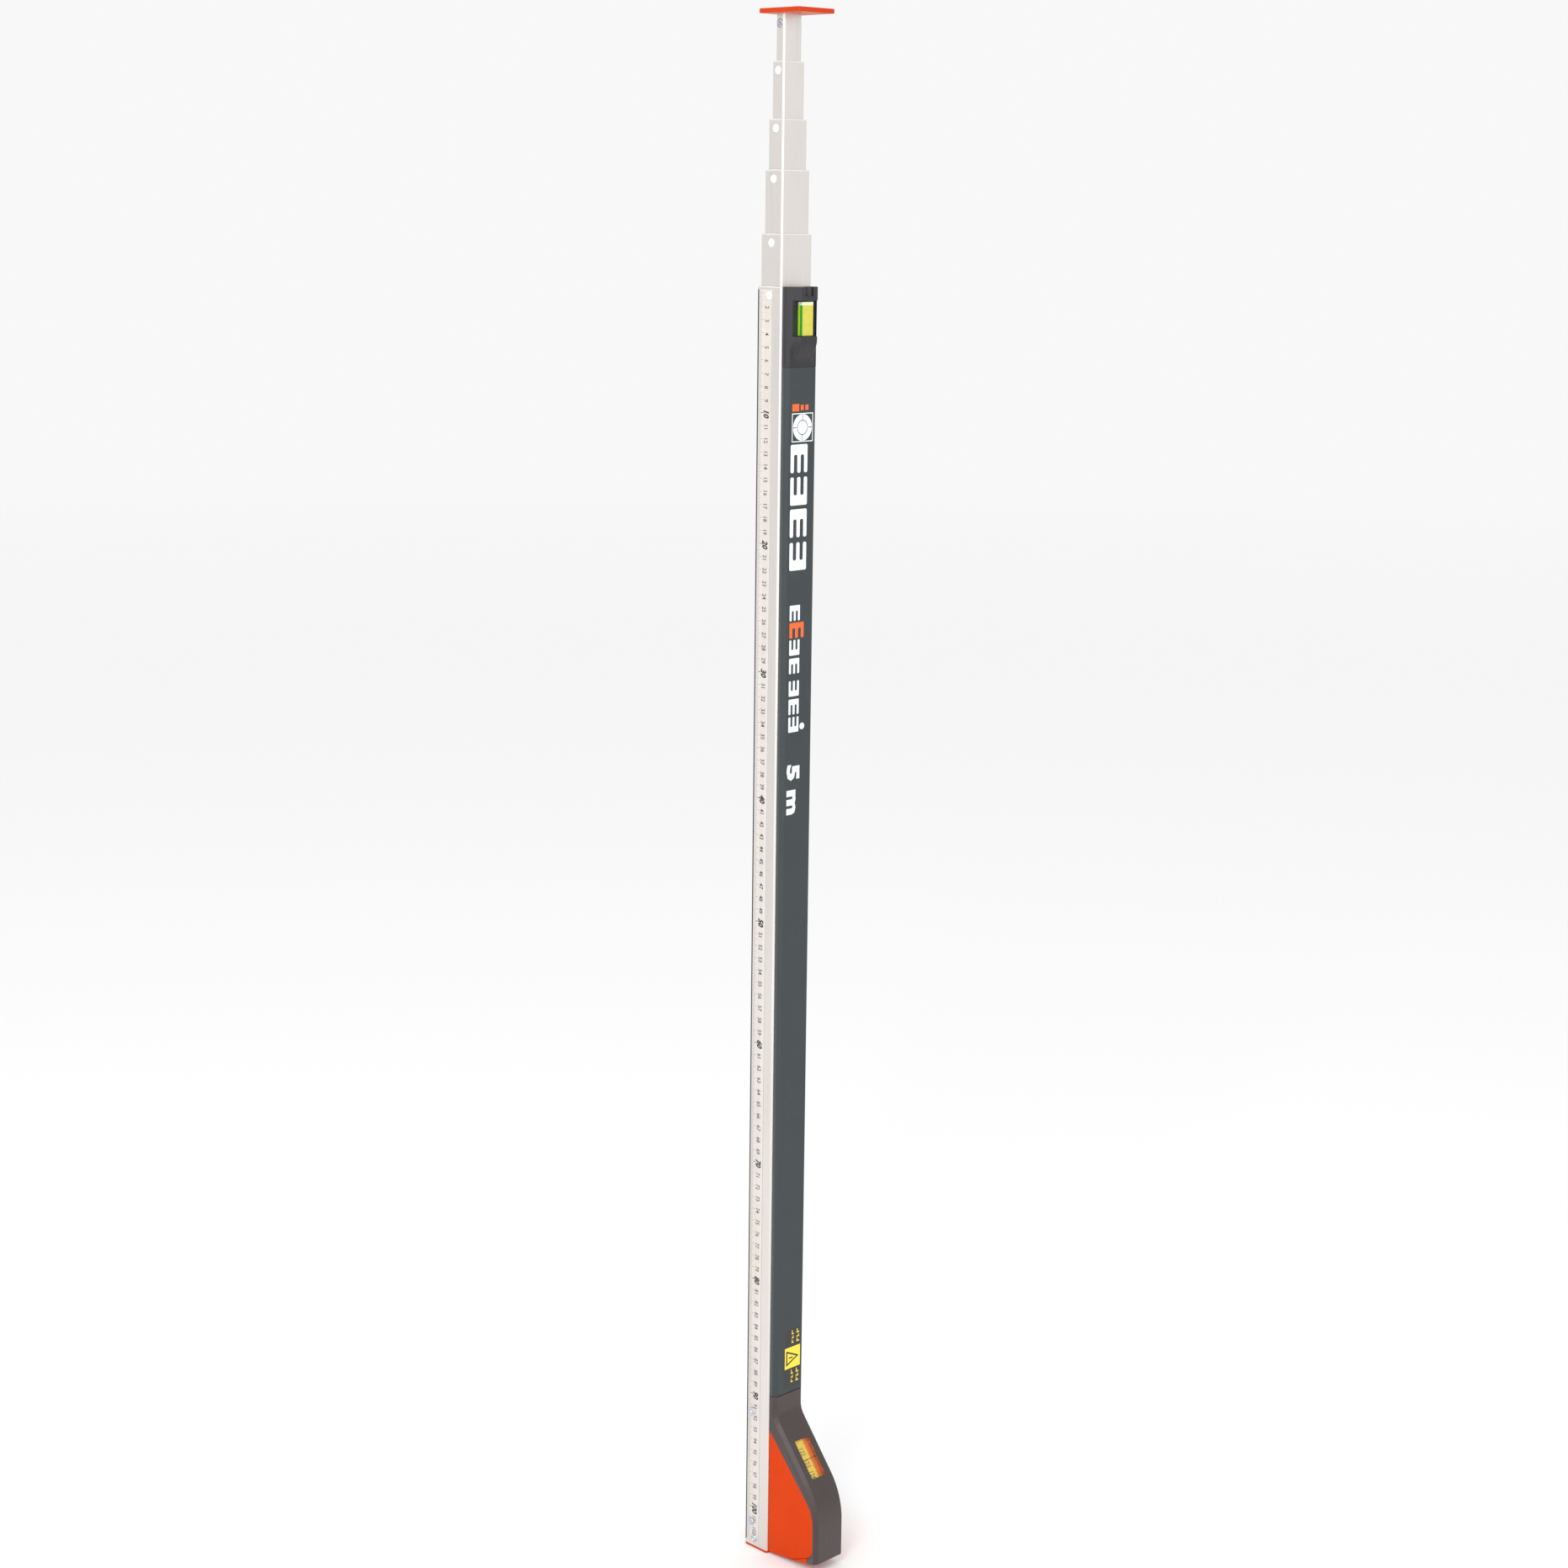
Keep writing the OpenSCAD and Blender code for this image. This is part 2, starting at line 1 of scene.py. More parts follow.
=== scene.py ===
# %% [markdown]
# # A telescopic levelling rod
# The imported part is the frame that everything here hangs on. Its moving bodies carry the pieces,
# and each piece made below takes the place of the plain solid that it stands for. Lengths are
# metres in Blender and millimetres on a drawing, so `mm` turns one into the other.

# %% Load the frame
from math import cos, pi, radians, sin, tan

import bmesh
import bpy
from mathutils import Matrix, Vector


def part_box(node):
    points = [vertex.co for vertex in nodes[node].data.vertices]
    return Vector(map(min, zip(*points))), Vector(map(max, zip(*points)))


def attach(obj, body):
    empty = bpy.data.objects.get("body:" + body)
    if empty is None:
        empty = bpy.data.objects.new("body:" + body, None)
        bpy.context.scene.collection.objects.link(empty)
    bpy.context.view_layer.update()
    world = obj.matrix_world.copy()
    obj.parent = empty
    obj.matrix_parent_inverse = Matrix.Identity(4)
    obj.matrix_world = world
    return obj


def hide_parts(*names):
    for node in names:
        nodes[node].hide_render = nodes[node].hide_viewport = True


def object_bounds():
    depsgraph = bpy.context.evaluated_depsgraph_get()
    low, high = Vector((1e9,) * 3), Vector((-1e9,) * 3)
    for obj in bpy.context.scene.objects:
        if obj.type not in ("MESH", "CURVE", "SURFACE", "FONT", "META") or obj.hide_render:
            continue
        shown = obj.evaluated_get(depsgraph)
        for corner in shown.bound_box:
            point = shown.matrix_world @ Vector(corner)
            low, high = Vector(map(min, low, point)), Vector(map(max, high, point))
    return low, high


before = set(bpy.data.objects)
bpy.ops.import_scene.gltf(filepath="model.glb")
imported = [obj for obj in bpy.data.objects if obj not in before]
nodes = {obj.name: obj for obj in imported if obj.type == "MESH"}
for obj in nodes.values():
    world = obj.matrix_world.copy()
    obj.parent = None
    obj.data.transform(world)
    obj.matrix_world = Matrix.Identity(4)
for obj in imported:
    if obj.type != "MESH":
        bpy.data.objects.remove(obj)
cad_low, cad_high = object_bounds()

mm = 0.001
scene = bpy.context.scene
scene.view_settings.view_transform = "Standard"
print("the rod as it stands, in mm:", [round(v / mm, 1) for v in cad_high - cad_low])

# %% [markdown]
# ## Camera
# A rod this slim is looked at from one of its corners, so that the scale face and the cover
# face both show. The camera stands two metres off, a little below the top, looking slightly
# down. A long lens keeps the edges nearly parallel.

# %% Camera
CAMERA_PLACE, LENS, SENSOR = (1.5075, -1.5031, 1.0912), 63.5, 36
PITCH, ROLL = radians(-11.829), radians(0.709)
camera = bpy.data.objects.new("camera", bpy.data.cameras.new("camera"))
scene.collection.objects.link(camera)
scene.camera = camera
camera.data.lens, camera.data.sensor_width = LENS, SENSOR
ahead = Vector((-cos(PITCH) / 2**0.5, cos(PITCH) / 2**0.5, sin(PITCH)))
level = Vector((1, 1, 0)).normalized()
upright = level.cross(ahead)
across = level * cos(ROLL) + upright * sin(ROLL)
over = upright * cos(ROLL) - level * sin(ROLL)
turn = Matrix((across, over, -ahead)).transposed().to_4x4()
camera.matrix_world = Matrix.Translation(CAMERA_PLACE) @ turn
camera.data.clip_start = 0.05

# %% [markdown]
# ## Hand tools
# Every piece is shaped with the same few moves: add a primitive at its size and place, or drag
# one point along an outline and fill it; pull it thick; cut with another piece; round the
# edges. Each move is Blender's own operator. An operator works on all that is selected, so the
# first tool clears the selection.


# %% Start a piece
def clear_selection():
    if bpy.context.mode != "OBJECT":
        done()
    bpy.ops.object.select_all(action="DESELECT")


def hold(piece):
    """Makes one piece the selected and active one."""
    clear_selection()
    piece.select_set(True)
    bpy.context.view_layer.objects.active = piece
    return piece


def edit(piece):
    """Opens a piece in edit mode with all of it selected."""
    hold(piece)
    bpy.ops.object.mode_set(mode="EDIT")
    bpy.ops.mesh.select_all(action="SELECT")


def done():
    """Leaves edit mode."""
    bpy.ops.object.mode_set(mode="OBJECT")


def settle(name):
    """Names the new piece and moves its place and size into its mesh."""
    piece = bpy.context.object
    piece.name = piece.data.name = name
    bpy.ops.object.transform_apply(location=True, rotation=True, scale=True)
    return piece


def block(name, low, high):
    """A box between two corners, in millimetres."""
    clear_selection()
    low, high = Vector(low) * mm, Vector(high) * mm
    bpy.ops.mesh.primitive_cube_add(size=1, location=(low + high) / 2, scale=high - low)
    return settle(name)


TURNS = {"X": (0, pi / 2, 0), "Y": (pi / 2, 0, 0), "Z": (0, 0, 0)}


def round_bar(name, centre, radius, length, axis="Z", sides=48, tip=None):
    """A bar, or a cone with a tip radius, about its centre, in millimetres."""
    clear_selection()
    bpy.ops.mesh.primitive_cone_add(
        vertices=sides, radius1=radius * mm, radius2=(radius if tip is None else tip) * mm,
        depth=length * mm, location=Vector(centre) * mm, rotation=TURNS[axis])
    return settle(name)


def lay(piece, angle, axis, place):
    """Turns a piece about the origin, in radians, then moves it to its place in millimetres."""
    hold(piece)
    bpy.ops.transform.rotate(value=angle, orient_axis=axis, center_override=(0, 0, 0))
    bpy.ops.transform.translate(value=Vector(place) * mm)
    return settle(piece.name)


def outline(name, points):
    """Drags one point through all the places given, in millimetres, and fills the outline."""
    places = [Vector(p) * mm for p in points]
    clear_selection()
    bpy.ops.mesh.primitive_plane_add(size=mm)
    bpy.ops.object.mode_set(mode="EDIT")
    bpy.ops.mesh.select_mode(type="VERT")
    bpy.ops.mesh.select_all(action="SELECT")
    bpy.ops.mesh.merge(type="CENTER")
    bpy.ops.transform.translate(value=places[0])
    for here, there in zip(places, places[1:]):
        bpy.ops.mesh.extrude_vertices_move(TRANSFORM_OT_translate={"value": there - here})
    bpy.ops.mesh.select_all(action="SELECT")
    bpy.ops.mesh.edge_face_add()
    done()
    return settle(name)


def pull(piece, way):
    """Pulls the whole flat piece thick along way, in millimetres, and turns its faces outwards."""
    edit(piece)
    bpy.ops.mesh.extrude_region_move(TRANSFORM_OT_translate={"value": Vector(way) * mm})
    bpy.ops.mesh.select_all(action="SELECT")
    bpy.ops.mesh.normals_make_consistent(inside=False)
    done()
    return piece


def side_slab(name, points, y_low, y_high):
    """An outline given in X and Z, as thick as from y_low to y_high."""
    return pull(outline(name, [(x, y_low, z) for x, z in points]), (0, y_high - y_low, 0))


def arc(centre, radius, start, end, steps):
    """Points on an arc, from one angle to another in degrees."""
    angles = [radians(start + (end - start) * k / steps) for k in range(steps + 1)]
    return [(centre[0] + radius * cos(a), centre[1] + radius * sin(a)) for a in angles]


# %% Shape a piece
def pick(piece, test, kind="EDGE"):
    """In edit mode, selects the vertices, edges or faces whose middle passes the test."""
    hold(piece)
    bpy.ops.object.mode_set(mode="EDIT")
    bpy.ops.mesh.select_mode(type=kind)
    bpy.ops.mesh.select_all(action="DESELECT")
    mesh = bmesh.from_edit_mesh(piece.data)
    for part in {"VERT": mesh.verts, "EDGE": mesh.edges, "FACE": mesh.faces}[kind]:
        corners = [part] if kind == "VERT" else part.verts
        part.select_set(test([v.co / mm for v in corners]))
    bmesh.update_edit_mesh(piece.data)


def bevel_picked(width, steps=1):
    """Rounds the picked edges, or chamfers them in a single step, and leaves edit mode."""
    bpy.ops.mesh.bevel(offset=width * mm, segments=steps, profile=0.5, affect="EDGES")
    done()


def use(piece, kind, **settings):
    """Adds a modifier, sets it and applies it."""
    hold(piece)
    tool = piece.modifiers.new(kind.title(), kind)
    for name, value in settings.items():
        setattr(tool, name, value)
    bpy.ops.object.modifier_apply(modifier=tool.name)
    return piece


def cut(piece, *tools):
    """Cuts each tool out of the piece and puts the tool away."""
    for tool in tools:
        use(piece, "BOOLEAN", object=tool, operation="DIFFERENCE", solver="EXACT")
        bpy.data.objects.remove(tool)
    return piece


def weld(*pieces):
    """Joins separate shells into one piece that keeps the first one's name."""
    clear_selection()
    for piece in pieces:
        piece.select_set(True)
    bpy.context.view_layer.objects.active = pieces[0]
    bpy.ops.object.join()
    return pieces[0]


def break_edges(piece, width, steps=2, angle=30):
    """Rounds every edge sharper than the angle, then shades the piece smooth between them."""
    use(piece, "BEVEL", width=width * mm, segments=steps, limit_method="ANGLE",
        angle_limit=radians(angle), use_clamp_overlap=True, harden_normals=False)
    return shade(piece)


def shade(piece, angle=35):
    hold(piece)
    bpy.ops.object.shade_smooth_by_angle(angle=radians(angle))
    return use(piece, "WEIGHTED_NORMAL", keep_sharp=True)


def coat(thing, finish):
    """Gives a piece, or a solid of the frame, its one finish."""
    thing.data.materials.clear()
    thing.data.materials.append(finish)


def fit(piece, finish, body, *stands_for, slot=None):
    """Gives a piece its finish, puts it on its body and hides the solids that it stands for."""
    coat(piece, finish)
    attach(piece, body)
    if stands_for:
        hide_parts(*stands_for)
    print("made", piece.name, "with", len(piece.data.polygons), "faces, on", body)
    return piece


# %% [markdown]
# ## Finishes
# A finish is a small network of nodes. Object coordinates are real metres here, because every
# piece keeps its place in its mesh, so a grain of a tenth of a millimetre can be asked for by
# its size. Slow noise gives the colour its life, fine noise gives the gloss its break-up and
# the surface its grain, and edges that hands rub are a touch lighter.


# %% Make a finish
class Finish:
    """A new material with a few helpers for its nodes."""

    def __init__(self, name, colour, **settings):
        self.material = bpy.data.materials.new(name)
        self.material.use_nodes = True
        self.tree = self.material.node_tree
        self.shader = self.tree.nodes["Principled BSDF"]
        self.colour = colour
        self.place = self.add("ShaderNodeTexCoord").outputs["Object"]
        self.shader.inputs["Base Color"].default_value = (*colour, 1)
        for socket, value in settings.items():
            socket = socket.replace("_", " ").title().replace("Ior", "IOR")
            self.shader.inputs[socket].default_value = value

    def add(self, kind, **inputs):
        node = self.tree.nodes.new(kind)
        for name, value in inputs.items():
            self.feed(node.inputs[name], value)
        return node

    def feed(self, socket, value):
        if isinstance(value, bpy.types.NodeSocket):
            self.tree.links.new(value, socket)
        else:
            socket.default_value = value

    def noise(self, size, stretch=(1, 1, 1), detail=2.0, rough=0.5):
        """Noise whose grain has the size given, in millimetres, drawn out by stretch."""
        place = self.add("ShaderNodeMapping", Vector=self.place, Scale=[1 / s for s in stretch])
        return self.add("ShaderNodeTexNoise", Vector=place.outputs[0], Scale=1 / (size * mm),
                        Detail=detail, Roughness=rough).outputs["Fac"]

    def spread(self, value, low, high, start=0.3, end=0.7):
        """Maps a value from start..end to low..high."""
        node = self.add("ShaderNodeMapRange", Value=value)
        limits = {"From Min": start, "From Max": end, "To Min": low, "To Max": high}
        for name, number in limits.items():
            node.inputs[name].default_value = number
        return node.outputs[0]

    def blend(self, share, first, second):
        node = self.tree.nodes.new("ShaderNodeMix")
        node.data_type = "RGBA"
        for k, value in ((0, share), (6, first), (7, second)):
            value = (*value, 1) if isinstance(value, tuple) else value
            self.feed(node.inputs[k], value)
        return node.outputs[2]

    def shift(self, value, second, low=0.0, high=1.0, start=0.3, end=0.7):
        """Blends the finish's colour towards a second one, as the value says."""
        share = self.spread(value, low, high, start, end)
        self.feed(self.shader.inputs["Base Color"], self.blend(share, self.colour_now(), second))

    def colour_now(self):
        links = self.shader.inputs["Base Color"].links
        return links[0].from_socket if links else self.colour

    def gloss(self, value, low, high):
        self.feed(self.shader.inputs["Roughness"], self.spread(value, low, high))

    def grain(self, value, depth, strength=1.0):
        """Raises the surface by depth millimetres where the value is 1."""
        links = self.shader.inputs["Normal"].links
        bump = self.add("ShaderNodeBump", Height=value, Strength=strength)
        bump.inputs["Distance"].default_value = depth * mm
        if links:
            self.feed(bump.inputs["Normal"], links[0].from_socket)
        self.feed(self.shader.inputs["Normal"], bump.outputs[0])

    def worn_edges(self, colour, amount):
        """Rubbed edges, found where the surface is sharply convex."""
        sharp = self.add("ShaderNodeNewGeometry").outputs["Pointiness"]
        self.shift(sharp, colour, 0, amount, start=0.53, end=0.62)


def from_screen(red, green, blue):
    """The linear colour of a colour given as on a screen, 0 to 255."""
    return tuple((c / 255 / 12.92) if c < 11 else ((c / 255 + 0.055) / 1.055) ** 2.4
                 for c in (red, green, blue))


# %% [markdown]
# ## Anodised aluminium
# The sections are drawn tubes with a clear satin anodised skin. The die leaves fine lines
# along the tube, so the noise is drawn out along Z; sliding in and out of the collars adds
# faint rub marks in the same direction.


# %% Aluminium
def aluminium(name, screen_colour, roughness):
    colour = from_screen(*screen_colour)
    skin = Finish(name, colour, metallic=0.9, roughness=roughness)
    lines = skin.noise(0.22, (1, 1, 900), 3)
    rubs = skin.noise(2.6, (1, 1, 45), 4, 0.65)
    cloud = skin.noise(38, (1, 1, 3), 2)
    skin.shift(cloud, tuple(c * 0.93 for c in colour))
    skin.shift(rubs, tuple(c * 0.84 for c in colour), 0, 0.45, start=0.55, end=0.75)
    skin.gloss(lines, roughness - 0.07, roughness + 0.09)
    skin.grain(lines, 0.012, 0.35)
    skin.grain(cloud, 0.05, 0.15)
    return skin.material


tube_skin = aluminium("anodised_aluminium", (224, 219, 214), 0.3)

# %% [markdown]
# ## Moulded and coated parts
# The cover is a coated profile with a faint satin grain; the head piece and the casing are
# moulded plastic with a fine texture; the orange parts are a little duller. One function makes
# them all, because they differ only in colour, grain and gloss.


# %% Moulded plastic and coated metal
def moulded(name, screen_colour, roughness, grain_size, grain_depth, screen_edge, **settings):
    colour, edge = from_screen(*screen_colour), from_screen(*screen_edge)
    skin = Finish(name, colour, roughness=roughness, **settings)
    fine = skin.noise(grain_size, detail=4, rough=0.6)
    cloud = skin.noise(24, detail=3)
    scuffs = skin.noise(5.5, (1, 1, 7), 6, 0.7)
    skin.shift(cloud, tuple(c * 0.92 for c in colour))
    skin.shift(scuffs, edge, 0, 0.16, start=0.6, end=0.78)
    skin.worn_edges(edge, 0.25)
    skin.gloss(fine, roughness - 0.08, roughness + 0.1)
    skin.grain(fine, grain_depth, 0.5)
    skin.grain(cloud, 0.12, 0.12)
    return skin.material


cover_skin = moulded("cover_coating", (58, 64, 66), 0.42, 0.35, 0.03, (110, 116, 117),
                     specular_ior_level=0.22)
casing_skin = moulded("casing_plastic", (60, 48, 47), 0.3, 0.4, 0.02, (112, 104, 104),
                      specular_ior_level=0.3, coat_weight=0.4, coat_roughness=0.2)
head_skin = moulded("head_plastic", (36, 36, 41), 0.24, 0.3, 0.015, (100, 101, 105),
                    specular_ior_level=0.42)
side_skin = moulded("orange_plastic", (206, 60, 2), 0.4, 0.45, 0.04, (226, 104, 56),
                    specular_ior_level=0.08)
plate_skin = moulded("orange_powder_coat", (196, 58, 6), 0.33, 0.9, 0.05, (230, 112, 60),
                     specular_ior_level=0.12)
collar_skin = moulded("collar_plastic", (214, 209, 203), 0.4, 0.4, 0.02, (238, 236, 232))
button_skin = moulded("button_plastic", (242, 240, 236), 0.3, 0.3, 0.01, (252, 252, 250))
inner_skin = moulded("inner_plastic", (52, 52, 54), 0.5, 0.5, 0.04, (90, 90, 92))

# %% [markdown]
# ## Small metal parts and prints
# Screws are zinc plated: bright metal with cloudy patches. Prints are thin ink with a trace of
# wear. The film under the scale is a pale satin sheet.


# %% Steel, ink and film
INK_ROUGHNESS = 0.45


def steel(name, screen_colour, roughness):
    colour = from_screen(*screen_colour)
    skin = Finish(name, colour, metallic=1, roughness=roughness)
    patches = skin.noise(1.4, detail=4)
    fine = skin.noise(0.15)
    skin.shift(patches, tuple(c * 0.72 for c in colour))
    skin.gloss(patches, roughness - 0.1, roughness + 0.12)
    skin.grain(fine, 0.008, 0.4)
    return skin.material


def ink(name, screen_colour):
    colour = from_screen(*screen_colour)
    skin = Finish(name, colour, roughness=INK_ROUGHNESS)
    specks = skin.noise(0.5, detail=5, rough=0.7)
    skin.shift(specks, tuple(min(1, c * 0.8 + 0.03) for c in colour), 0, 0.6)
    skin.gloss(specks, INK_ROUGHNESS - 0.1, INK_ROUGHNESS + 0.1)
    return skin.material


screw_skin = steel("zinc_plated_steel", (214, 216, 222), 0.24)
spring_skin = steel("spring_steel", (170, 172, 180), 0.3)
black_ink = ink("black_ink", (34, 32, 32))
grey_ink = ink("grey_ink", (116, 112, 108))
white_ink = ink("white_ink", (236, 242, 246))
orange_ink = ink("orange_ink", (240, 98, 20))
yellow_ink = ink("yellow_ink", (250, 222, 50))
film_skin = moulded("scale_film", (204, 198, 191), 0.36, 0.5, 0.006, (225, 222, 217))

# %% [markdown]
# ## Sections
# Six rectangular tubes with rounded corners slide in one another. Each starts as a box with its
# four long edges rounded; the ends are taken off, and the wall is thickened inwards. Round
# holes are cut last: one for the button near the rim, and two near the foot of each inner
# section for its own catch and the pin that holds it.

# %% Sizes read from the frame
WALL, CORNER = 1.1, 2.0
TUBE_X = 13  # the outermost section's side, on which the cover and the casing sit
FILM_SCREWS = ((-4.9, 121), (-5.3, 22.6), (-1.8, 8.4))  # X and Z
BUTTON_HOLE, CATCH_HOLE, PIN_HOLE = 3.3, 2.55, 1.25


def box_mm(node):
    low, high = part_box(node)
    return low / mm, high / mm


rims = [box_mm(f"collar_{i}")[1].z for i in range(1, 6)] + [box_mm("tube_6")[1].z]
tube_names = ["main_tube"] + [f"tube_{i}" for i in range(2, 7)]
bodies = ["main"] + [f"section_{i}" for i in range(2, 7)]
top_screw_z = rims[5] - 7
print("rims at", [round(z, 1) for z in rims])


def rounded_bar(name, low, high, corner=CORNER, steps=8):
    """A box whose four upright edges are rounded."""
    piece = block(name, low, high)
    pick(piece, lambda ends: abs(ends[0].z - ends[1].z) > 0.01)
    bevel_picked(corner, steps)
    return piece


def open_tube(name, low, high, wall, corner=CORNER):
    """A rounded bar with its ends taken off and a wall of its own."""
    piece = rounded_bar(name, low, high, corner)
    pick(piece, lambda points: max(p.z for p in points) - min(p.z for p in points) < 0.01, "FACE")
    bpy.ops.mesh.delete(type="FACE")
    done()
    return use(piece, "SOLIDIFY", thickness=wall * mm, offset=-1)


# %% Section tubes
button_boxes = [box_mm(f"button_{i}") for i in range(1, 6)]
button_z = [(low.z + high.z) / 2 for low, high in button_boxes]
for i, (node, body) in enumerate(zip(tube_names, bodies)):
    low, high = box_mm(node)
    tube = open_tube(f"section_tube_{i + 1}", low, high, WALL)
    front = low.y
    holes = [(button_z[i] if i < 5 else top_screw_z, BUTTON_HOLE)]
    if i:
        catch_z = box_mm(f"catch_{i + 1}")[0].z
        holes += [(catch_z + 4, CATCH_HOLE), (catch_z + 26, PIN_HOLE)]
    for z, radius in holes:
        cut(tube, round_bar("drill", (0, front, z), radius, 3, "Y"))
    if i == 0:
        cut(tube, block("film_bed", (-11, front - 1, 5), (4, front + 0.3, 1028.4)))
        cut(tube, block("tape_slot", (10, -8.7, 114), (14, 8.7, 130)))
    fit(shade(tube, 30), tube_skin, body, node, slot="anodised")
print("sections made:", len(tube_names))

# %% [markdown]
# ## Collars
# A pale plastic collar sits on the rim of every section that another one leaves. It shows as a
# thin rounded flange with a small raised tongue over the button, and a guide wall reaches down
# inside. The flange is a rounded bar, hollowed by a smaller one; its outer edges are broken.


# %% Collars
def collar(i):
    """The collar on the rim of section i + 1, where 0 is the outermost."""
    low, high = box_mm(tube_names[i])
    rim = rims[i]
    inside = WALL + 0.45
    flange = rounded_bar(f"rim_collar_{i + 1}", (low.x + 0.05, low.y + 0.05, rim - 1),
                         (high.x - 0.05, high.y - 0.05, rim - 0.15))
    pick(flange, lambda ends: min(p.z for p in ends) > rim - 0.2)
    bevel_picked(0.35, 3)
    cut(flange, rounded_bar("hollow", (low.x + inside, low.y + inside, rim - 3),
                            (high.x - inside, high.y - inside, rim + 3), 0.9, 4))
    guide = open_tube("guide", (low.x + WALL, low.y + WALL, rim - 14),
                      (high.x - WALL, high.y - WALL, rim - 1.02), 0.45, 0.9)
    cut(guide, block("button_gap", (-5, low.y, rim - 15), (5, 0, rim + 1)))
    tongue = side_slab("tongue", [(-4.2, rim - 0.3), (4.2, rim - 0.3), (3.4, rim), (-3.4, rim)],
                       low.y + 0.15, low.y + inside)
    break_edges(tongue, 0.12)
    return weld(shade(flange), shade(guide), tongue)


for i in range(5):
    fit(collar(i), collar_skin, bodies[i], f"collar_{i + 1}", slot="white_plastic")

# %% [markdown]
# ## Release buttons
# Each button is a round white plug held from behind by its brim. The face is dished for a
# fingertip: its middle is inset and pushed back, and the rim is rounded.


# %% Buttons
def button(name, face_y, z):
    plug = round_bar(name, (0, face_y + 0.45, z), 3.2, 0.9, "Y", 48)
    pick(plug, lambda points: max(p.y for p in points) < face_y + 0.05 and len(points) > 4, "FACE")
    for width, depth in ((0.35, 0), (0.7, 0.16), (0.9, 0.12)):
        bpy.ops.mesh.inset(thickness=width * mm, depth=-depth * mm)
    done()
    brim = round_bar("brim", (0, face_y + 0.875, z), 3.7, 0.45, "Y", 48)
    break_edges(brim, 0.1)
    return weld(break_edges(plug, 0.14, 3, 40), brim)


for i in range(1, 6):
    face_y = button_boxes[i - 1][0].y
    fit(button(f"release_button_{i}", face_y, button_z[i - 1]), button_skin, f"button_{i}",
        f"button_{i}", slot="white_plastic")

# %% [markdown]
# ## Screws
# All screws have a cross recess. A pan head is a short bar whose rim is rounded, with a cross
# cut into it, and a sunk head is a cone. The same functions make every screw.


# %% Screw heads
def cross_cutter(centre, reach, axis="Y"):
    """Two crossed slots, for cutting a recess."""
    half_width, half_depth, slots = 0.38, 0.45, []
    for angle in (45, 135):
        if axis == "Y":
            corner = Vector((reach, half_depth, half_width))
        else:
            corner = Vector((reach, half_width, half_depth))
        slots.append(lay(block("slot", -corner, corner), radians(angle), axis, centre))
    return slots


def pan_head(name, x, face_y, z):
    """A pan-head screw that stands on a face looking to -Y."""
    length = 7
    head = round_bar(name, (x, face_y - 0.62, z), 3.2, 1.24, "Y", 40)
    pick(head, lambda ends: max(p.y for p in ends) < face_y - 1.2)
    bevel_picked(0.75, 4)
    pick(head, lambda ends: min(p.y for p in ends) > face_y - 0.05)
    bevel_picked(0.15, 1)
    cut(head, *cross_cutter((x, face_y - 1.1, z), 1.9))
    shaft = round_bar("shaft", (x, face_y + length / 2, z), 1.45, length, "Y", 24)
    return weld(shade(head), shade(shaft))


def sunk_head(name, centre, axis, sign, radius, drop, length):
    """A countersunk screw; sign says which way its face looks along the axis."""
    middle = Vector(centre)
    way = {"Y": Vector((0, 1, 0)), "Z": Vector((0, 0, 1))}[axis] * sign
    tips = (1.5, radius) if (axis == "Z") == (sign > 0) else (radius, 1.5)
    head = round_bar(name, middle - way * drop / 2, tips[0], drop, axis, 40, tips[1])
    cut(head, *cross_cutter(middle, 1.8, axis))
    shaft = round_bar("shaft", middle - way * (drop + length / 2), 1.4, length, axis, 24)
    return weld(break_edges(head, 0.1), shade(shaft))


# %% Screws in place
face_y = box_mm("main_tube")[0].y
scale_screws = [pan_head("scale_face_screws", x, face_y, z) for x, z in FILM_SCREWS]
fit(weld(*scale_screws), screw_skin, "main", "scale_screws", slot="screw_steel")

inner_y = box_mm("tube_6")[0].y
top_head = round_bar("top_wall_screw", (0, inner_y + 0.6, top_screw_z), 3.2, 1, "Y", 40)
pick(top_head, lambda ends: max(p.y for p in ends) < inner_y + 0.15)
bevel_picked(0.45, 3)
cut(top_head, *cross_cutter((0, inner_y + 0.2, top_screw_z), 1.9))
top_shaft = round_bar("shaft", (0, inner_y + 3, top_screw_z), 1.45, 4, "Y", 24)
fit(weld(shade(top_head), shade(top_shaft)), screw_skin, "section_6", "top_screw",
    slot="screw_steel")

plate_top = box_mm("top_plate")[1].z
END_SCREW_Y, FOOT_SCREW_Y = 5.8, 10
plate_screws = [sunk_head("end_plate_screws", (0, y, plate_top - 0.1), "Z", 1, 2.6, 1.35, 7)
                for y in (-END_SCREW_Y, END_SCREW_Y)]
fit(weld(*plate_screws), screw_skin, "section_6", "plate_screws", slot="screw_steel")
foot_screws = [sunk_head("foot_plate_screws", (0, y, 0.2), "Z", -1, 2.6, 0.95, 5)
               for y in (-FOOT_SCREW_Y, FOOT_SCREW_Y)]
fit(weld(*foot_screws), screw_skin, "main", "foot_screws", slot="screw_steel")

# %% [markdown]
# ## End plate and foot plate
# Both are stamped steel with an orange powder coat, which runs round the edges and makes them
# soft. The corners are rounded first, then every other edge, and the screw seats are cones.


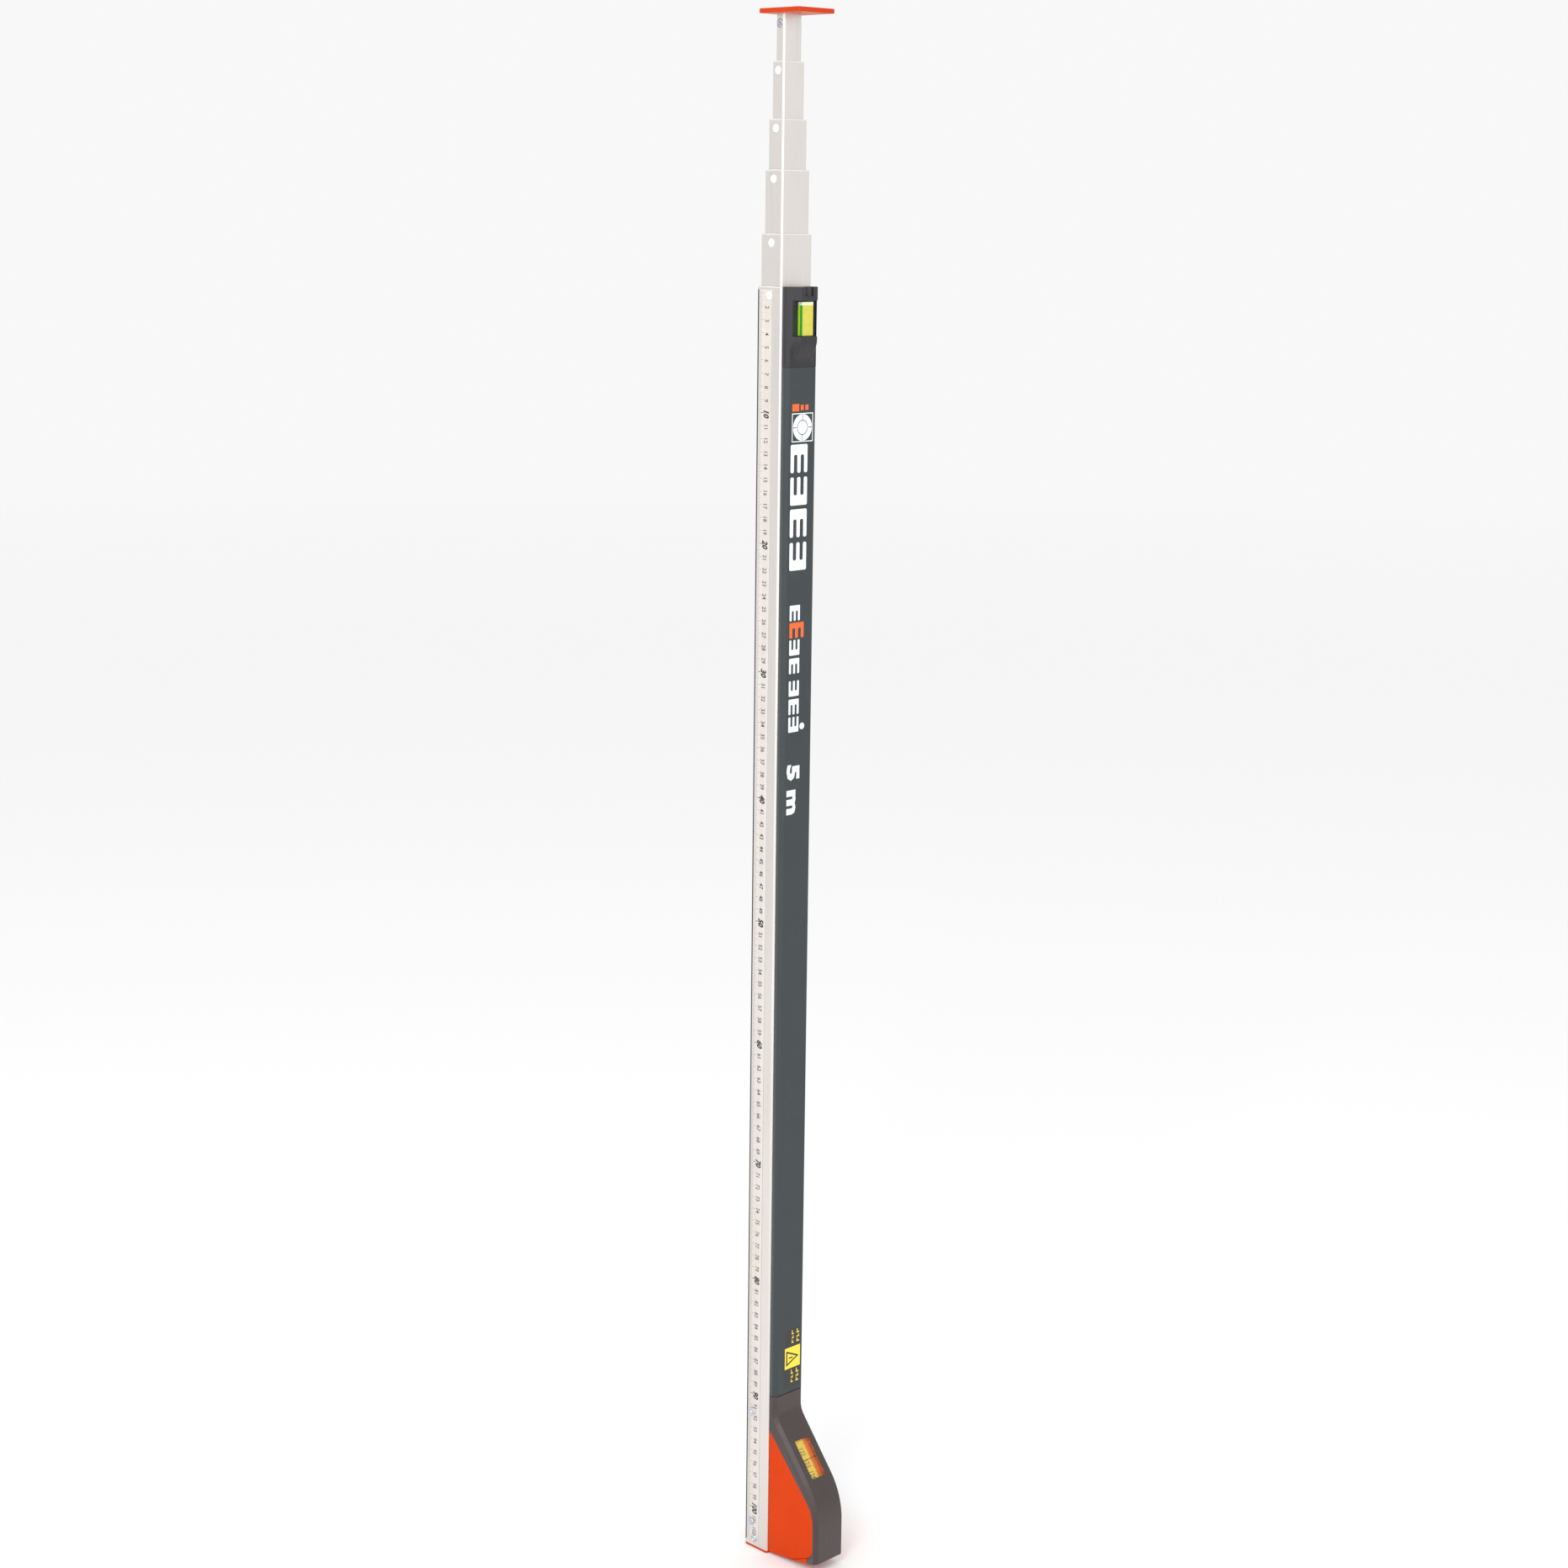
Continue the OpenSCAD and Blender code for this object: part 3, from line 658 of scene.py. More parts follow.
# %% Plates
def coated_plate(name, node, corner, screw_y, seat_z, sign):
    """A plate with two screw seats; sign says whether they are on its top or its underside."""
    low, high = box_mm(node)
    plate = rounded_bar(name, low, high, corner, 6)
    pick(plate, lambda ends: abs(ends[0].z - ends[1].z) < 0.01)
    bevel_picked(min(0.6, (high.z - low.z) / 4), 3)
    for y in (-screw_y, screw_y):
        radii = (1.4, 3.3) if sign > 0 else (3.7, 1.5)
        cut(plate, round_bar("seat", (0, y, seat_z - sign * 0.7), radii[0], 2, "Z", 40, radii[1]),
            round_bar("drill", (0, y, seat_z - sign * 2), 1.6, 8, "Z", 32))
    return shade(plate)


top_plate = coated_plate("orange_end_plate", "top_plate", 1.5, END_SCREW_Y, plate_top, 1)
fit(top_plate, plate_skin, "section_6", "top_plate", slot="end_orange")
foot_plate = coated_plate("orange_foot_plate", "foot_plate", 2, FOOT_SCREW_Y, 0, -1)
fit(foot_plate, plate_skin, "main", "foot_plate", slot="end_orange")

# %% [markdown]
# ## Cover
# The cover is a U-shaped profile that clips over the tube's side and hides the tape's way up.
# Its outline is drawn once, outer line first and inner line back, and pulled up to its length.

# %% Cover
SIDE_Y = 16.3
cover_low, cover_high = box_mm("cover")
COVER_X = cover_high.x


def folded_profile(y, x, chamfer, wall):
    """The U of a cover: half width y, face at x, chamfered corners, and its wall."""
    outer = [(TUBE_X, -y), (x - chamfer, -y), (x, chamfer - y)]
    inner = [(TUBE_X, wall - y), (x - chamfer - wall * 0.42, wall - y),
             (x - wall, chamfer - y + wall * 0.42)]
    outer += [(a, -b) for a, b in reversed(outer)]
    inner += [(a, -b) for a, b in reversed(inner)]
    return outer + inner[::-1]


profile = folded_profile(SIDE_Y, COVER_X, 2.4, 1.5)
cover = pull(outline("reading_side_cover", [(x, y, cover_low.z + 0.12) for x, y in profile]),
             (0, 0, cover_high.z - cover_low.z - 0.2))
fit(break_edges(cover, 0.4, 3), cover_skin, "main", "cover", slot="cover_dark")

# %% [markdown]
# ## Head piece
# The head piece carries the vial. Its section grows out of the cover's: a nose stands forward
# between two slanting cheeks. The upper part is one outline pulled up. Below, the last face is
# pulled down in small steps; after each step the nose is pushed back towards the cover's face,
# and the cheeks sooner than the nose, which hollows them into a scoop. The pocket and the
# finger notch are cut last.

# %% Head piece
head_low, head_high = box_mm("head_piece")
NOSE_X, NOSE_Y, CHEEK_Y, HEAD_Y = head_high.x, 8.6, 14.1, 16.5
nose_foot, steps = 991.5, 12
half = [(TUBE_X, HEAD_Y), (16.6, HEAD_Y), (COVER_X, CHEEK_Y),
        (COVER_X + (NOSE_X - COVER_X) * 0.3, 12.45), (COVER_X + (NOSE_X - COVER_X) * 0.65, 10.53),
        (NOSE_X, NOSE_Y)]
section = [(x, -y) for x, y in half] + [(x, y) for x, y in reversed(half)]
head = pull(outline("head_piece_shell", [(x, y, nose_foot) for x, y in section]),
            (0, 0, head_high.z - nose_foot))


def push_back(z, y_low, y_high, factor):
    """Scales one level's points, between two distances from the middle, towards the cover."""
    pick(head, lambda p: abs(p[0].z - z) < 0.05 and y_low < abs(p[0].y) < y_high, "VERT")
    bpy.ops.transform.resize(value=(factor, 1, 1), center_override=(COVER_X * mm, 0, 0))
    done()


def nose_share(t):
    return 0.5 + 0.5 * cos(pi * min(1, t * 1.02))


stand = {"nose": 1.0, "cheek": 1.0}
for k in range(steps):
    z = nose_foot - (nose_foot - head_low.z) * k / steps
    step = (nose_foot - head_low.z) / steps
    pick(head, lambda points: all(abs(p.z - z) < 0.05 for p in points), "FACE")
    bpy.ops.mesh.extrude_region_move(TRANSFORM_OT_translate={"value": (0, 0, -step * mm)})
    done()
    t = (k + 1) / steps
    nose, cheek = max(0.02, nose_share(t)), max(0.015, nose_share(min(1, t * 1.5)) ** 1.6)
    push_back(z - step, 0, NOSE_Y + 0.5, nose / stand["nose"])
    push_back(z - step, NOSE_Y + 0.5, CHEEK_Y - 0.3, cheek / stand["cheek"])
    stand = {"nose": nose, "cheek": cheek}

vial_low, vial_high = box_mm("vial_block")
pocket_top = vial_high.z + 0.9
cut(head,
    block("pocket", (COVER_X - 0.3, -12.9, vial_low.z - 0.4), (NOSE_X + 5, 12.9, pocket_top)),
    round_bar("notch", (NOSE_X, 0, head_high.z + 1.5), 4.2, 17, "Z", 40))
fit(break_edges(head, 0.3, 3, 28), head_skin, "main", "head_piece", slot="cover_dark")

# %% [markdown]
# ## Vial
# The vial is a block of fluorescent acrylic with a bored barrel of liquid and its bubble. Such
# a block looks brightest where light leaves it, so its face is yellow, the cheek next to it is
# green, and the clear end is pale. Those tones are painted here by the place on the block, with
# a trace of glow, because light traced through the acrylic is slow and noisy.

# %% Vial finishes
CHEEK_Y_SPAN, EDGE_X_SPAN, VIAL_GLOW = (0.00545, 0.0056), (0.0209, 0.0215), 0.05
acrylic = Finish("fluorescent_acrylic", from_screen(228, 222, 62), roughness=0.12,
                 transmission_weight=0.12, ior=1.49, coat_weight=0.6)
place = acrylic.add("ShaderNodeSeparateXYZ", Vector=acrylic.place).outputs
swirl = acrylic.noise(3.5, (1, 1, 2.5), 3)
side = acrylic.tree.nodes.new("ShaderNodeMath")
side.operation = "ABSOLUTE"
acrylic.feed(side.inputs[0], place["Y"])
face_tone = acrylic.blend(acrylic.spread(swirl, 0, 0.5), from_screen(212, 200, 62),
                          from_screen(196, 196, 44))
cheek_tone = acrylic.blend(acrylic.spread(place["X"], 0, 1, *EDGE_X_SPAN),
                           from_screen(168, 216, 40), from_screen(52, 158, 38))
tone = acrylic.blend(acrylic.spread(side.outputs[0], 0, 1, *CHEEK_Y_SPAN), face_tone, cheek_tone)
top = acrylic.spread(place["Z"], 0, 0.85, (vial_high.z - 2.9) * mm, (vial_high.z - 2.3) * mm)
tone = acrylic.blend(top, tone, from_screen(232, 244, 214))
acrylic.feed(acrylic.shader.inputs["Base Color"], tone)
acrylic.feed(acrylic.shader.inputs["Emission Color"], tone)
acrylic.shader.inputs["Emission Strength"].default_value = VIAL_GLOW

# %% Vial pieces
vial = block("vial_acrylic_block", vial_low, vial_high)
vial = break_edges(vial, 0.45, 3)
liquid_low, liquid_high = box_mm("vial_liquid")
liquid_x = (vial_low.x + vial_high.x) / 2 + 0.15
cut(vial, round_bar("bore", (liquid_x, 0, (vial_low.z + vial_high.z) / 2), 1.75, 21.5))
fit(shade(vial), acrylic.material, "main", "vial_block", slot="vial_acrylic")

barrel = Finish("vial_liquid_dye", from_screen(214, 226, 60), roughness=0.08,
                transmission_weight=0.3, ior=1.36)
barrel.shift(barrel.noise(2, (1, 1, 6)), from_screen(190, 214, 40), 0, 0.6)
liquid = round_bar("vial_liquid_column", (liquid_x, 0, (liquid_low.z + liquid_high.z) / 2), 1.68,
                   liquid_high.z - liquid_low.z, "Z", 40)
fit(break_edges(liquid, 0.7, 4), barrel.material, "main", "vial_liquid", slot="vial_fluid")
for k, z in enumerate((1013.5, 1002.6)):
    low, high = z - 0.17, z + 0.17
    ring = block(f"vial_mark_{k + 1}", (vial_high.x - 0.1, -5.55, low),
                 (vial_high.x + 0.04, 5.55, high))
    cheek = block("cheek", (COVER_X - 0.1, vial_low.y - 0.04, low),
                  (21.2, vial_low.y + 0.1, high))
    fit(weld(break_edges(ring, 0.03, 1), break_edges(cheek, 0.03, 1)),
        ink(f"vial_line_{k + 1}", (196, 190, 36)), "main")

# %% [markdown]
# ## Casing
# The tape reel lives in a casing at the foot. Its dark band runs from the cover down a slope,
# turns into an upright front and closes underneath. The band starts as the whole side view of
# the casing, drawn with true arcs and pulled to full width. Its long edges get a flat chamfer,
# then the underside, the hollow, the side openings, the seat of the base and the window are
# cut out.

# %% Casing outline
FRONT_X, SLOPE, WINDOW_X = 68.1, 38.9, 44.4
SLOPE_FROM, SEAM_Z, SHELL = (24, 115.5), 138.9, 2.2


def slope_z(x):
    return SLOPE_FROM[1] - (x - SLOPE_FROM[0]) / tan(radians(SLOPE))


NECK_X, NECK_R, FRONT_R = 19.4, 16, 60
neck_z = slope_z(NECK_X) + NECK_R * tan(radians(SLOPE / 2))
front_z = slope_z(FRONT_X - FRONT_R * (1 - cos(radians(SLOPE)))) - FRONT_R * sin(radians(SLOPE))


def casing_line(t=0.0):
    """The casing's side view from the seam down to the foot of its front, t inside its skin."""
    neck = arc((NECK_X + NECK_R, neck_z), NECK_R + t, 180, 180 + SLOPE, 8)
    front = arc((FRONT_X - FRONT_R, front_z), FRONT_R - t, SLOPE, 0, 16)
    return [(NECK_X - t, SEAM_Z)] + neck + front


band = side_slab("casing_dark_band", [(TUBE_X, SEAM_Z)] + casing_line() + [(FRONT_X, -8),
                 (TUBE_X, -8)], -HEAD_Y, HEAD_Y)


def on_front(ends):
    """True for the band's long outer edges, from the seam down."""
    middle = (ends[0] + ends[1]) / 2
    beside = abs(abs(ends[0].y) - HEAD_Y) < 0.05 and abs(ends[0].y - ends[1].y) < 0.05
    return beside and middle.x > 13.2 and -7.9 < middle.z < 138.8


pick(band, on_front)
bevel_picked(3.05)

# %% Side cover outline
crease = [(TUBE_X, 1.3), (33, 3.5), (43, 5.6)]
corner = arc((53.5, 21.3), 10.5, -67, 0, 8)


def cheek_line(t=0.0):
    """The orange side cover's outline, t inside its opening."""
    knee = arc((36 - t, 41.4), 28, 0, 40.9, 10)
    foot = [(x, z + t) for x, z in crease] + [(x - t, z) for x, z in corner]
    return foot + knee + [(TUBE_X, 109.4 - t * 1.5)]


# %% Cut the band
# Each tool reaches past the band, so that no two faces lie in one plane.
hollow = side_slab("hollow", [(10, 150), (17.2, 150)] + casing_line(SHELL)[1:]
                   + [(FRONT_X - SHELL, 11.2), (56, 8.6), (10, 3)], -HEAD_Y + SHELL, HEAD_Y - SHELL)
underside = side_slab("underside", [(TUBE_X, 1), (56, 6.4), (72, 10.2), (72, -30), (8, -30),
                      (8, 0.4)], -20, 20)
sides = side_slab("sides", [(8, 0.8)] + cheek_line() + [(8, 115)], -20, 20)
base_seat = side_slab("base_seat", [(8, 20), (57, 20), corner[0], (58.6, 6.9), (59.6, -5),
                      (8, -5)], -20, 20)
WINDOW = Vector((WINDOW_X, 0, slope_z(WINDOW_X)))


def on_slope(name, low, high):
    """A box in the window's own frame: along the slope, across, and out of the face."""
    return lay(block(name, low, high), -radians(90 - SLOPE), "Y", WINDOW)


window_hole = on_slope("window_hole", (-16.7, -7.7, -6), (16.7, 7.7, 6))
cut(band, underside, hollow, sides, base_seat, window_hole)
fit(break_edges(band, 0.3, 2, 25), casing_skin, "main", "casing_band", slot="casing_dark")

# %% [markdown]
# ## Orange side covers and base
# The two side covers fill the openings of the band. Each is its outline pulled two millimetres
# thick with a soft rim, and stands a hair below the band's side. The base closes the bottom
# between them.

# %% Side covers
for word, side in (("left", -1), ("right", 1)):
    outside = side * (HEAD_Y - 0.25)
    low, high = sorted((outside, outside - side * 1.9))
    cheek = side_slab(f"orange_side_{word}", cheek_line(0.12), low, high)
    fit(break_edges(cheek, 0.45, 3, 40), side_skin, "main", f"side_cover_{word}",
        slot="side_orange")

# %% Base
base = side_slab("orange_base", [(TUBE_X, 1), (56, 6.4), (58.4, 6.9), (57.3, 11.4), (56.3, 13),
                 (43, 8.6), (TUBE_X, 4.3)], -HEAD_Y, HEAD_Y)
pick(base, lambda ends: abs(abs(ends[0].y) - HEAD_Y) < 0.05 and abs(ends[0].y - ends[1].y) < 0.05
     and max(e.z for e in ends) < 6.95)
bevel_picked(1.1, 4)
lip = [(x, z - 0.12) for x, z in crease + corner[:1]]
for y in (-HEAD_Y - 1, HEAD_Y - 2.3):
    cut(base, side_slab("side_seat", lip + [(70, 11.5), (70, 30), (0, 30), (0, 1.2)], y, y + 3.3))
fit(break_edges(base, 0.25, 2), side_skin, "main", "casing_base", slot="side_orange")

# %% [markdown]
# ## Reading window
# A clear lens closes the window, with a fine hairline across its middle. Behind it passes the
# tape: yellow with grey figures on one side and an orange field on the other. The figures tell
# the rod's present height in centimetres, read at the hairline. A lens of real acrylic would
# mirror more of the room, so this one bends the light less than acrylic does.

# %% Tape and lens
LENS_IOR, FIELD_Y_SPAN = 1.2, (0.00335, 0.00345)
lens_skin = Finish("clear_lens", (1, 1, 1), roughness=0.03, transmission_weight=1.0, ior=LENS_IOR)
lens_skin.gloss(lens_skin.noise(6), 0.02, 0.06)
lens = break_edges(on_slope("window_lens_pane", (-16.6, -7.6, -1.9), (16.6, 7.6, -0.5)), 0.25, 2)
fit(lens, lens_skin.material, "main", "window_lens", slot="lens")
hairline = break_edges(on_slope("window_hairline", (-0.2, -7.6, -2.15), (0.2, 7.6, -1.95)), 0.04, 1)
fit(hairline, ink("hairline_red", (120, 58, 30)), "main")

tape_skin = Finish("tape_print_yellow", from_screen(250, 206, 84), roughness=0.38)
place = tape_skin.add("ShaderNodeSeparateXYZ", Vector=tape_skin.place).outputs
weave = tape_skin.noise(0.8, (1, 6, 1), 3)
yellow = tape_skin.blend(tape_skin.spread(weave, 0, 0.4), from_screen(250, 214, 78),
                         from_screen(244, 196, 60))
orange = tape_skin.blend(tape_skin.spread(weave, 0, 0.5), from_screen(244, 120, 44),
                         from_screen(238, 98, 30))
tape_skin.feed(tape_skin.shader.inputs["Base Color"],
               tape_skin.blend(tape_skin.spread(place["Y"], 0, 1, *FIELD_Y_SPAN), yellow, orange))
for node in ("tape_run", "tape_lower", "tape_upper", "tape_coil"):
    coat(nodes[node], tape_skin.material)

# %% [markdown]
# ## Lettering
# Figures are text objects turned into meshes. Three directions cover all the prints: on the
# scale's face, on the cover's face and on the tape behind the window. On all three the figures
# read downwards, as on a rod that hangs from its top end.

# %% Lettering
PIN_R = 3
pins_low, pins_high = box_mm("guide_pins")
upper_pin = Vector((pins_low.x + PIN_R, 0, pins_high.z - PIN_R))
lower_pin = Vector((pins_high.x - PIN_R, 0, pins_low.z + PIN_R))
tape_way = (lower_pin - upper_pin).normalized()
tape_up = Vector((-tape_way.z, 0, tape_way.x))
DOWN, TO_X, TO_Y = Vector((0, 0, -1)), Vector((1, 0, 0)), Vector((0, 1, 0))
READS = {"scale": (DOWN, TO_X), "cover": (DOWN, TO_Y), "tape": (tape_way, TO_Y)}
CAPITAL = 0.7  # a capital's height, as a share of the text's size


def lettering(body, place, size, side, squeeze=1.0, bold=0.0, lean=0.0):
    """Raised characters, centred on their place, of a height given in millimetres."""
    along, up = READS[side]
    clear_selection()
    turn = Matrix((along, up, along.cross(up))).transposed().to_euler()
    bpy.ops.object.text_add(location=Vector(place) * mm, rotation=turn)
    text = bpy.context.object
    text.data.body, text.data.align_x = body, "CENTER"
    text.data.size, text.data.extrude = size / CAPITAL * mm, 0.02 * mm
    text.data.resolution_u, text.data.offset, text.data.shear = 2, bold * mm, lean
    text.scale.x = squeeze
    bpy.ops.object.convert(target="MESH")
    return settle("figure")


def one_print(name, pieces, finish):
    """Joins the parts of a print and closes their seams."""
    piece = weld(*pieces) if len(pieces) > 1 else pieces[0]
    piece.name = piece.data.name = name
    edit(piece)
    bpy.ops.mesh.remove_doubles(threshold=0.002 * mm)
    bpy.ops.mesh.normals_make_consistent(inside=False)
    done()
    return fit(piece, finish, "main")


# %% [markdown]
# ## Scale film
# The outermost section shows a centimetre scale: 2 at the top to 102 at the foot, counted down
# from the closed rod's top. The film lies in a shallow bed and is cut out around the button and
# the screws. One millimetre tick is made at the top and an array repeats it down the film; a
# second array makes the centimetre ticks and a third the dotted line at the film's right side.

# %% Film
film_low, film_high = box_mm("scale_strip")
SCALE_TOP, FILM_Y = 1036, film_low.y
film = block("scale_film", (film_low.x + 0.05, FILM_Y + 0.02, film_low.z + 0.05),
             (film_high.x - 0.05, film_high.y, film_high.z - 0.05))
cut(film, round_bar("hole", (0, FILM_Y, button_z[0]), BUTTON_HOLE, 3, "Y"),
    *[round_bar("hole", (x, FILM_Y, z), 1.6, 3, "Y", 32) for x, z in FILM_SCREWS])
fit(shade(film), film_skin, "main", "scale_strip", slot="scale_face")


def repeated(piece, pitch, count):
    """Repeats the piece downwards, pitch millimetres apart."""
    return use(piece, "ARRAY", count=count, use_relative_offset=False, use_constant_offset=True,
               constant_offset_displace=(0, 0, -pitch * mm))


def tick(x_low, x_high, z, width):
    return block("tick", (x_low, FILM_Y - 0.02, z - width / 2),
                 (x_high, FILM_Y + 0.04, z + width / 2))


first = SCALE_TOP - 9
one_print("millimetre_ticks", [repeated(tick(-10.6, -7.4, first, 0.17), 1, 1021)], grey_ink)
one_print("centimetre_ticks", [repeated(tick(-7.4, -5.6, SCALE_TOP - 10, 0.24), 10, 103),
                               repeated(tick(-7.4, -6.6, SCALE_TOP - 15, 0.2), 10, 102)], grey_ink)
one_print("dotted_line", [repeated(tick(3.25, 3.6, first, 0.6), 1, 1021)], grey_ink)
# A thin black sheet wraps the tube's rounded corner beside the film's left edge. It is painted shade: the
# dark band where the corner turns away from the light.
shaded_corner_outline = [(-10.6, -18.03), *arc((-11, -16), 2.03, 270, 228, 6),
            *arc((-11, -16), 1.9, 228, 270, 6), (-10.6, -17.95)]
shaded_corner_sheet = pull(outline("corner_painted_shade", [(x, y, film_low.z) for x, y in shaded_corner_outline]),
                 (0, 0, film_high.z - film_low.z))
fit(shade(shaded_corner_sheet), black_ink, "main")

# %% Figures
units, tens = [], []
for n in range(2, 103):
    z = SCALE_TOP - 10 * n - 0.8
    if n % 10:
        units.append(lettering(str(n), (-3.8, FILM_Y, z), 4.1, "scale", 0.8, 0.03))
    else:
        tens.append(lettering(str(n), (-4.3, FILM_Y, z + 0.4), 5.4, "scale", 0.82, 0.3, 0.25))
        tens.append(tick(-7.4, -4.4, z + 0.8, 0.4))
one_print("unit_figures", units, ink("figure_ink", (74, 68, 66)))
one_print("ten_figures", tens, black_ink)
print("figures:", len(units), "and tens:", len(tens))

# %% [markdown]
# ## Prints on the cover
# The cover's face carries bold white prints. They are plain shapes: a bull's-eye in a frame,
# the comb blocks of a levelling staff in two sizes, and the rod's length. Each print is an
# outline with rounded corners, a few hundredths of a millimetre proud.


# %% Printed shapes
def face_shape(points, rounding=0.0, lift=0.03):
    """A flat shape on the cover's face, from points given in Y and Z."""
    shape = pull(outline("print", [(COVER_X - 0.02, y, z) for y, z in points]), (0.02 + lift, 0, 0))
    if rounding:
        pick(shape, lambda ends: abs(ends[0].x - ends[1].x) > 0.01)
        bevel_picked(rounding, 3)
    return shape


def bar(y_low, y_high, z_low, z_high, lift=0.03):
    return face_shape([(y_low, z_low), (y_high, z_low), (y_high, z_high), (y_low, z_high)], 0, lift)


def comb(y_low, y_high, z_back, z_tips, rounding):
    """A staff block: a back with three teeth."""
    root = z_back + (z_tips - z_back) * 0.36
    w = (y_high - y_low) / 5
    points = [(y_low, z_back), (y_high, z_back)]
    for k in range(3):
        y = y_high - 2 * k * w
        points += [(y, z_tips), (y - w, z_tips)]
        points += [(y - w, root), (y - 2 * w, root)] if k < 2 else []
    return face_shape(points, rounding)


def disc(y, z, radius, sides=48):
    return round_bar("disc", (COVER_X + 0.005, y, z), radius, 0.05, "X", sides)


# %% Prints
dashes = ((-10.6, -3.4, 937.9, 943.4), (-1.6, 1.6, 938.6, 942.6), (3.4, 6.6, 938.6, 942.6))
one_print("orange_dashes", [bar(*dash) for dash in dashes], orange_ink)
frame_outline = face_shape([(-10.8, 914.6), (11.8, 914.6), (11.8, 936.4), (-10.8, 936.4)])
cut(frame_outline, block("inside", (15, -10.1, 915.3), (22, 11.1, 935.7)))
EYE_Y, EYE_Z = 0.5, 925.5
eye = disc(EYE_Y, EYE_Z, 10.1)
ring = cut(round_bar("ring", (COVER_X, EYE_Y, EYE_Z), 5.7, 3, "X"),
           round_bar("core", (COVER_X, EYE_Y, EYE_Z), 5.1, 4, "X"))
cross = ((-10, 925.2, -5.6, 925.8), (6.6, 925.2, 11, 925.8), (0.2, 931.1, 0.8, 936),
         (0.2, 915, 0.8, 919.9))
cut(eye, ring, *[block("line", (15, y, z), (22, y_end, z_end)) for y, z, y_end, z_end in cross])
one_print("bulls_eye_print", [frame_outline, eye], white_ink)
large = [comb(-11.8, 6.3, z, z - 21.5 * way, 1.3)
         for z, way in ((912.8, 1), (866.5, -1), (863.5, 1), (816.5, -1))]
one_print("large_staff_blocks", large, white_ink)
small = [comb(-10.7, 0.4, z, z - 12 * way, 0.7)
         for z, way in ((789.5, 1), (750.6, -1), (748.2, 1), (718.6, -1), (716.2, 1), (690.2, -1))]
one_print("small_staff_blocks", small + [disc(4.2, 694, 2.6, 32)], white_ink)
one_print("orange_staff_block", [comb(-10.7, 4.7, 776, 764, 0.7)], orange_ink)
rod_length = lettering("5 m", (COVER_X, -10.8, 644.5), 12.4, "cover", 1.45, 0.9)
one_print("length_print", [rod_length], white_ink)

# %% [markdown]
# ## Label
# A three-part label sits above the casing: two black plates with short yellow strokes that
# spell nothing, and between them a yellow plate with a triangle and one short bar.

# %% Label
plates = [bar(-5, 11.8, 144, 160, 0.05), bar(-5, 11.8, 178.4, 194, 0.05)]
one_print("label_black_plates", plates, black_ink)
one_print("label_yellow_plate", [bar(-5.4, 11.9, 160.1, 178.3, 0.06)], yellow_ink)
triangle = face_shape([(-4, 162.4), (10.6, 169.2), (-4, 176)], 0.5, 0.09)
inner_corners = ((-2.6, 164.6), (7.4, 169.2), (-2.6, 173.8))
inside = pull(outline("inside", [(15, y, z) for y, z in inner_corners]), (8, 0, 0))
one_print("label_triangle", [cut(triangle, inside), bar(-1, 3.6, 168.6, 169.8, 0.09)], black_ink)
strokes = []
for z_top, rows in ((192.6, ((7.6, 3.2), (2.2, 2.2))), (158.4, ((7.2, 3.2), (1.6, 2.4)))):
    for y, height in rows:
        for k, length in enumerate((3.6, 2.2, 2.9)):
            z = z_top - (0, 4.9, 8.2)[k]
            strokes.append(bar(y, y + height, z - length, z - length + 0.9, 0.08))
            start, end = 0.1 + 0.5 * (k % 2), 0.4 + 0.5 * (k % 2)
            strokes.append(bar(y + height * start, y + height * end, z - length + 1.1, z, 0.08))
one_print("label_strokes", strokes, yellow_ink)

# %% [markdown]
# ## Tape print
# The figures on the tape lie on its slanting run behind the window. They count centimetres and
# grow downwards; the hairline reads 123.35, the rod's height as it stands here. A strip wider
# than the tape lies just behind it, so that the print fills the opening from every side.

# %% Tape print
tape_face = lower_pin + tape_up * (PIN_R + 0.375)
tape_middle = tape_face + tape_way * (WINDOW - tape_face).dot(tape_way)
READING, FIGURE_DROP = 123.35, 6.5  # centimetres, and how far a figure hangs below its tick


def on_tape(along, y=0.0):
    return tape_middle + tape_way * along + tape_up * 0.01 + Vector((0, y, 0))


def flat_on_tape(name, low, high, along):
    """A block in the tape's own frame: along the tape, across, and out of its face."""
    lean = tape_up.angle(Vector((0, 0, 1)))
    return lay(block(name, low, high), -lean, "Y", on_tape(along))


margin = flat_on_tape("tape_margin", (-17, -10.8, -0.24), (17, 10.8, -0.04), 0)
fit(break_edges(margin, 0.05, 1), tape_skin.material, "main", slot="tape_yellow")

figures, ticks = [], []
for n in range(122, 126):
    along = (n - READING) * 10
    if abs(along + FIGURE_DROP) < 17:
        place = on_tape(along + FIGURE_DROP, -4.4)
        figures.append(lettering(str(n), place, 4.6, "tape", 0.75, 0.06))
    for k in range(10):
        if abs(along + k) < 16:
            length = {0: 1.8, 5: 1.2}.get(k, 0.7)
            ticks.append(flat_on_tape("tick", (-0.12, 3.3 - length, -0.03), (0.12, 3.5, 0.03),
                                      along + k))
one_print("tape_figures", figures, ink("tape_figure_ink", (118, 128, 70)))
one_print("tape_ticks", ticks, black_ink)

# %% [markdown]
# ## Parts inside
# What hides inside keeps its solid from the frame and only gets a finish.

# %% Inner parts
shoes, catches = ([f"{kind}_{i}" for i in range(2, 7)] for kind in ("shoe", "catch"))
for finish, names in (
        (inner_skin, ["foot_plug", "stop_block", "top_plug", "reel_drum", *shoes]),
        (screw_skin, ["casing_screws", "head_screws", "guide_pins", "reel_axle"]),
        (spring_skin, ["reel_spring", *catches])):
    for name in names:
        coat(nodes[name], finish)
    print(finish.name, "on", len(names), "inner parts")

